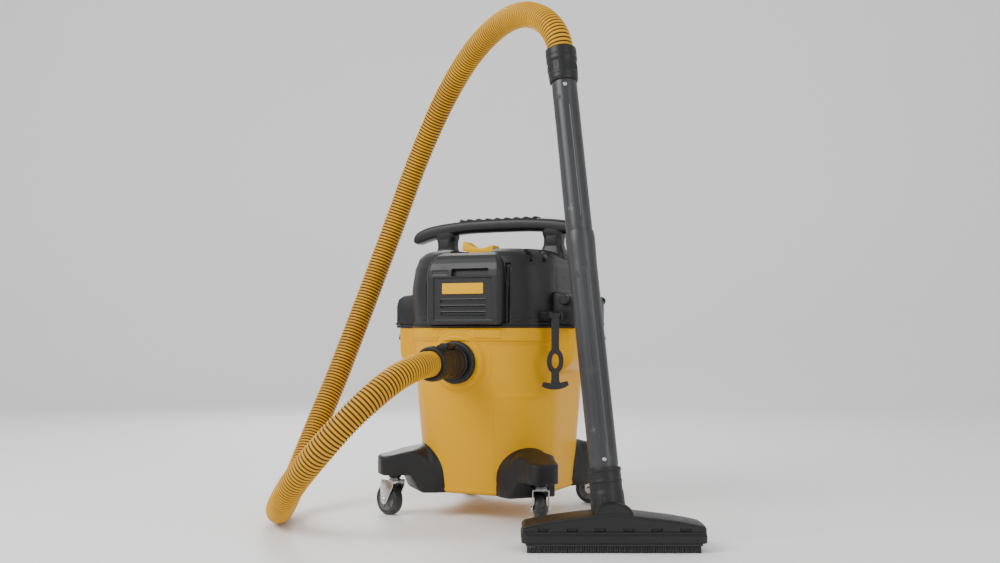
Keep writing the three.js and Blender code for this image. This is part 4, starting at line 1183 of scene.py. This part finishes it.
for name, s, r in (("lower", .160, .0255), ("upper", .878, .0250)):
    stud = turned(rounded([(0, .0205), (.0040, .0205), (.0040, r + .0012), (.0030, r + .0024),
                           (0, r + .0026)], .0005), 32)
    to_stud = WAND_LINE @ Matrix.Translation((0, 0, s)) @ Matrix.Rotation(math.pi / 2, 4, "X")
    fit(piece("snap_button_" + name, moved(stud, to_stud)), "wand_lock_" + name, "zinc_plate", zinc,
        "wand_button_" + name)

# ---- Floor nozzle ------------------------------------------------------------------------------
# A wide black moulded hood snaps on a shallow base frame with a lip. Two strips of stiff black
# bristles hang below it, and the hood rises to a slanted neck that the wand pushes into.

to_nozzle = Matrix.Translation(WAND_FOOT) @ Matrix.Rotation(math.radians(25), 4, "Z")


def nozzle_ring(hx, hy, r, z, count=240):
    """Points round a rounded rectangle of the given half sizes at one level."""
    points = box_ring(-hx, hx, hy, r, z, 12)
    closed = np.vstack([points, points[:1]])
    run = np.linalg.norm(np.diff(closed, axis=0), axis=1).sum()
    return along(closed, np.linspace(0, run, count, endpoint=False))


def lip_height(x):
    """How high the hood stands at x: low at its ends, rising gently towards the neck."""
    return float(np.interp(abs(x), [0, .020, .040, .075, .110, .140, .158, .1630],
                           [.0700, .0685, .0655, .0615, .0570, .0515, .0475, .0440]))


HOOD_NOTCHES = (-.125, -.075, -.025, .025, .075, .125)
hood_end = np.linspace(.1560, .1630, 8)
hood_rings = []
for x in np.concatenate([-hood_end[::-1], np.linspace(-.1540, .1540, 170), hood_end]):
    draw = .0050 * (1 - math.sqrt(max(1 - max((abs(x) - .1550) / .0082, 0) ** 2, 0.0)))
    high = lip_height(x)
    notch = sum(1 - step(abs(x - c), .0080, .0100) for c in HOOD_NOTCHES)
    front = [(-.0400, .0333), (-.0400, .0372), (-.0378, .0380), (-.0378 + .0030 * notch, .0386),
             (-.0378 + .0030 * notch, .0425), (-.0376, .0435), (-.0366, high - .0042), (-.0372, high - .0036),
             (-.0374, high - .0016), (-.0366, high - .0004), (-.0352, high)]
    top = [(-.0335, high - .0001), (-.0310, high + .0004), (-.015, high + .0013), (0, high + .0016),
           (.015, high + .0013)]
    back = [(-y, z) for y, z in (front[:3] + front[5:])[::-1]]
    hood_rings.append([(x, y * (1 - draw / .040), z) for y, z in front + top + back])
hood_parts = [moved(skin(hood_rings), to_nozzle)]
ARCH_Z, ARCH_HALF = .0655, .0330
arch_rings = []
for x in np.linspace(-ARCH_HALF, ARCH_HALF, 41):
    z = ARCH_Z + .0215 * math.sqrt(max(1 - (x / ARCH_HALF) ** 2, 0))
    lean = .0105 * step(z, .066, .086)
    arch_rings.append([(x + a, -.0352 + lean + b, z + c) for a, b, c in (
        (-.0014, -.0014, -.0008), (.0014, -.0014, -.0008), (.0014, .0040, .0010), (-.0014, .0040, .0010))])
hood_parts.append(moved(skin(arch_rings), to_nozzle))
WEB_FOOT_Z = .060
front_web = []
for share in np.linspace(0, 1, 10):
    row = []
    for x in np.linspace(-.0325, .0325, 30):
        arch_z = ARCH_Z + .0210 * math.sqrt(max(1 - (x / .0326) ** 2, 0))
        z = WEB_FOOT_Z + share * (arch_z - WEB_FOOT_Z)
        row.append((x, -.0345 + .0100 * step(z, .066, .086), z))
    front_web.append(row)
behind = np.array(front_web) + (0, .012, 0)
hood_parts.append(moved(skin([np.vstack([f, r[::-1]]) for f, r in zip(front_web, behind)]), to_nozzle))
neck = turned(rounded([
    (0, .0560), (.0350, .0560), (.0330, .0680), (.0315, .0760), (.0310, .0990), (.0295, .1060),
    (.0295, .1180), (.0303, .1190), (.0303, .1230), (.0295, .1240), (.0295, .1380), (.0305, .1390),
    (.0305, .1440),
    (.0298, .1460), (.0262, .1460), (.0259, .1440), (.0259, .1020), (0, .1020)], .0010), 96)
hood_parts.append(moved(neck, WAND_LINE))
for turn in (-115, -90, -65):
    rib = plate([(.0298, .078), (.0322, .080), (.0318, .098), (.0295, .104)], -.0012, .0012, .0005)
    hood_parts.append(moved(rib, WAND_LINE @ Matrix.Rotation(math.radians(turn), 4, "Z")))
nozzle_black = moulded("nozzle_black", (0.0085, 0.0087, 0.0092), 0.44, 0.8, 0.00014)
fit(piece("nozzle_cowl", *hood_parts, sharp=38), "base", "black_plastic", nozzle_black, "nozzle_hood")

frame_rings = [nozzle_ring(*row) for row in (
    (.1635, .0405, .0095, .0170), (.1648, .0418, .0100, .0180), (.1650, .0420, .0100, .0195),
    (.1650, .0420, .0100, .0300), (.1640, .0412, .0095, .0310), (.1640, .0412, .0095, .0318),
    (.1648, .0418, .0100, .0322), (.1640, .0412, .0095, .0330),
    (.1460, .0270, .0060, .0330), (.1460, .0270, .0060, .0170))]
fit(piece("nozzle_frame", moved(open_ring(frame_rings), to_nozzle), sharp=38), "base", "black_plastic",
    nozzle_black, "nozzle_base")


def bristle_material():
    material, place, shader = new_material("bristles")
    strands = place.add("Mapping", Vector=place, Scale=(1.0, 1.0, 0.05)).noise(700.0, 3.0)
    connect(shader, Base_Color=strands.mix((0.006, 0.006, 0.006), (0.035, 0.034, 0.033)),
            Roughness=0.55 + strands * 0.2, Normal=strands.bump(0.0006, 0.8))
    return material


bristles = bristle_material()
BRISTLE_TOP = .0135
scatter = np.random.default_rng(7)
for name, v in (("front", -.034), ("rear", .034)):
    backing = plate([(-.156, BRISTLE_TOP - .0010), (.156, BRISTLE_TOP - .0010), (.156, .0167),
                     (-.156, .0167)], v - .005, v + .005, .0010)
    parts = [moved(backing, to_nozzle)]
    for row in (-.0032, 0, .0032):
        for x in np.arange(-.1540, .1545, .0030):
            lean, tip = scatter.uniform(-.0009, .0009, 2), scatter.uniform(0, .0012)
            tuft = []
            for z, r in ((BRISTLE_TOP, .0009), (.0070, .0013), (tip, .0017)):
                drift = lean * (BRISTLE_TOP - z) / BRISTLE_TOP
                tuft.append([(x + drift[0] + r * math.cos(a), v + row + drift[1] + r * math.sin(a), z)
                             for a in np.linspace(0, 2 * math.pi, 6, endpoint=False)])
            parts.append(moved(skin(tuft), to_nozzle))
    fit(piece("bristle_strip_" + name, *parts), "base", "bristle_black", bristles, "brush_" + name)
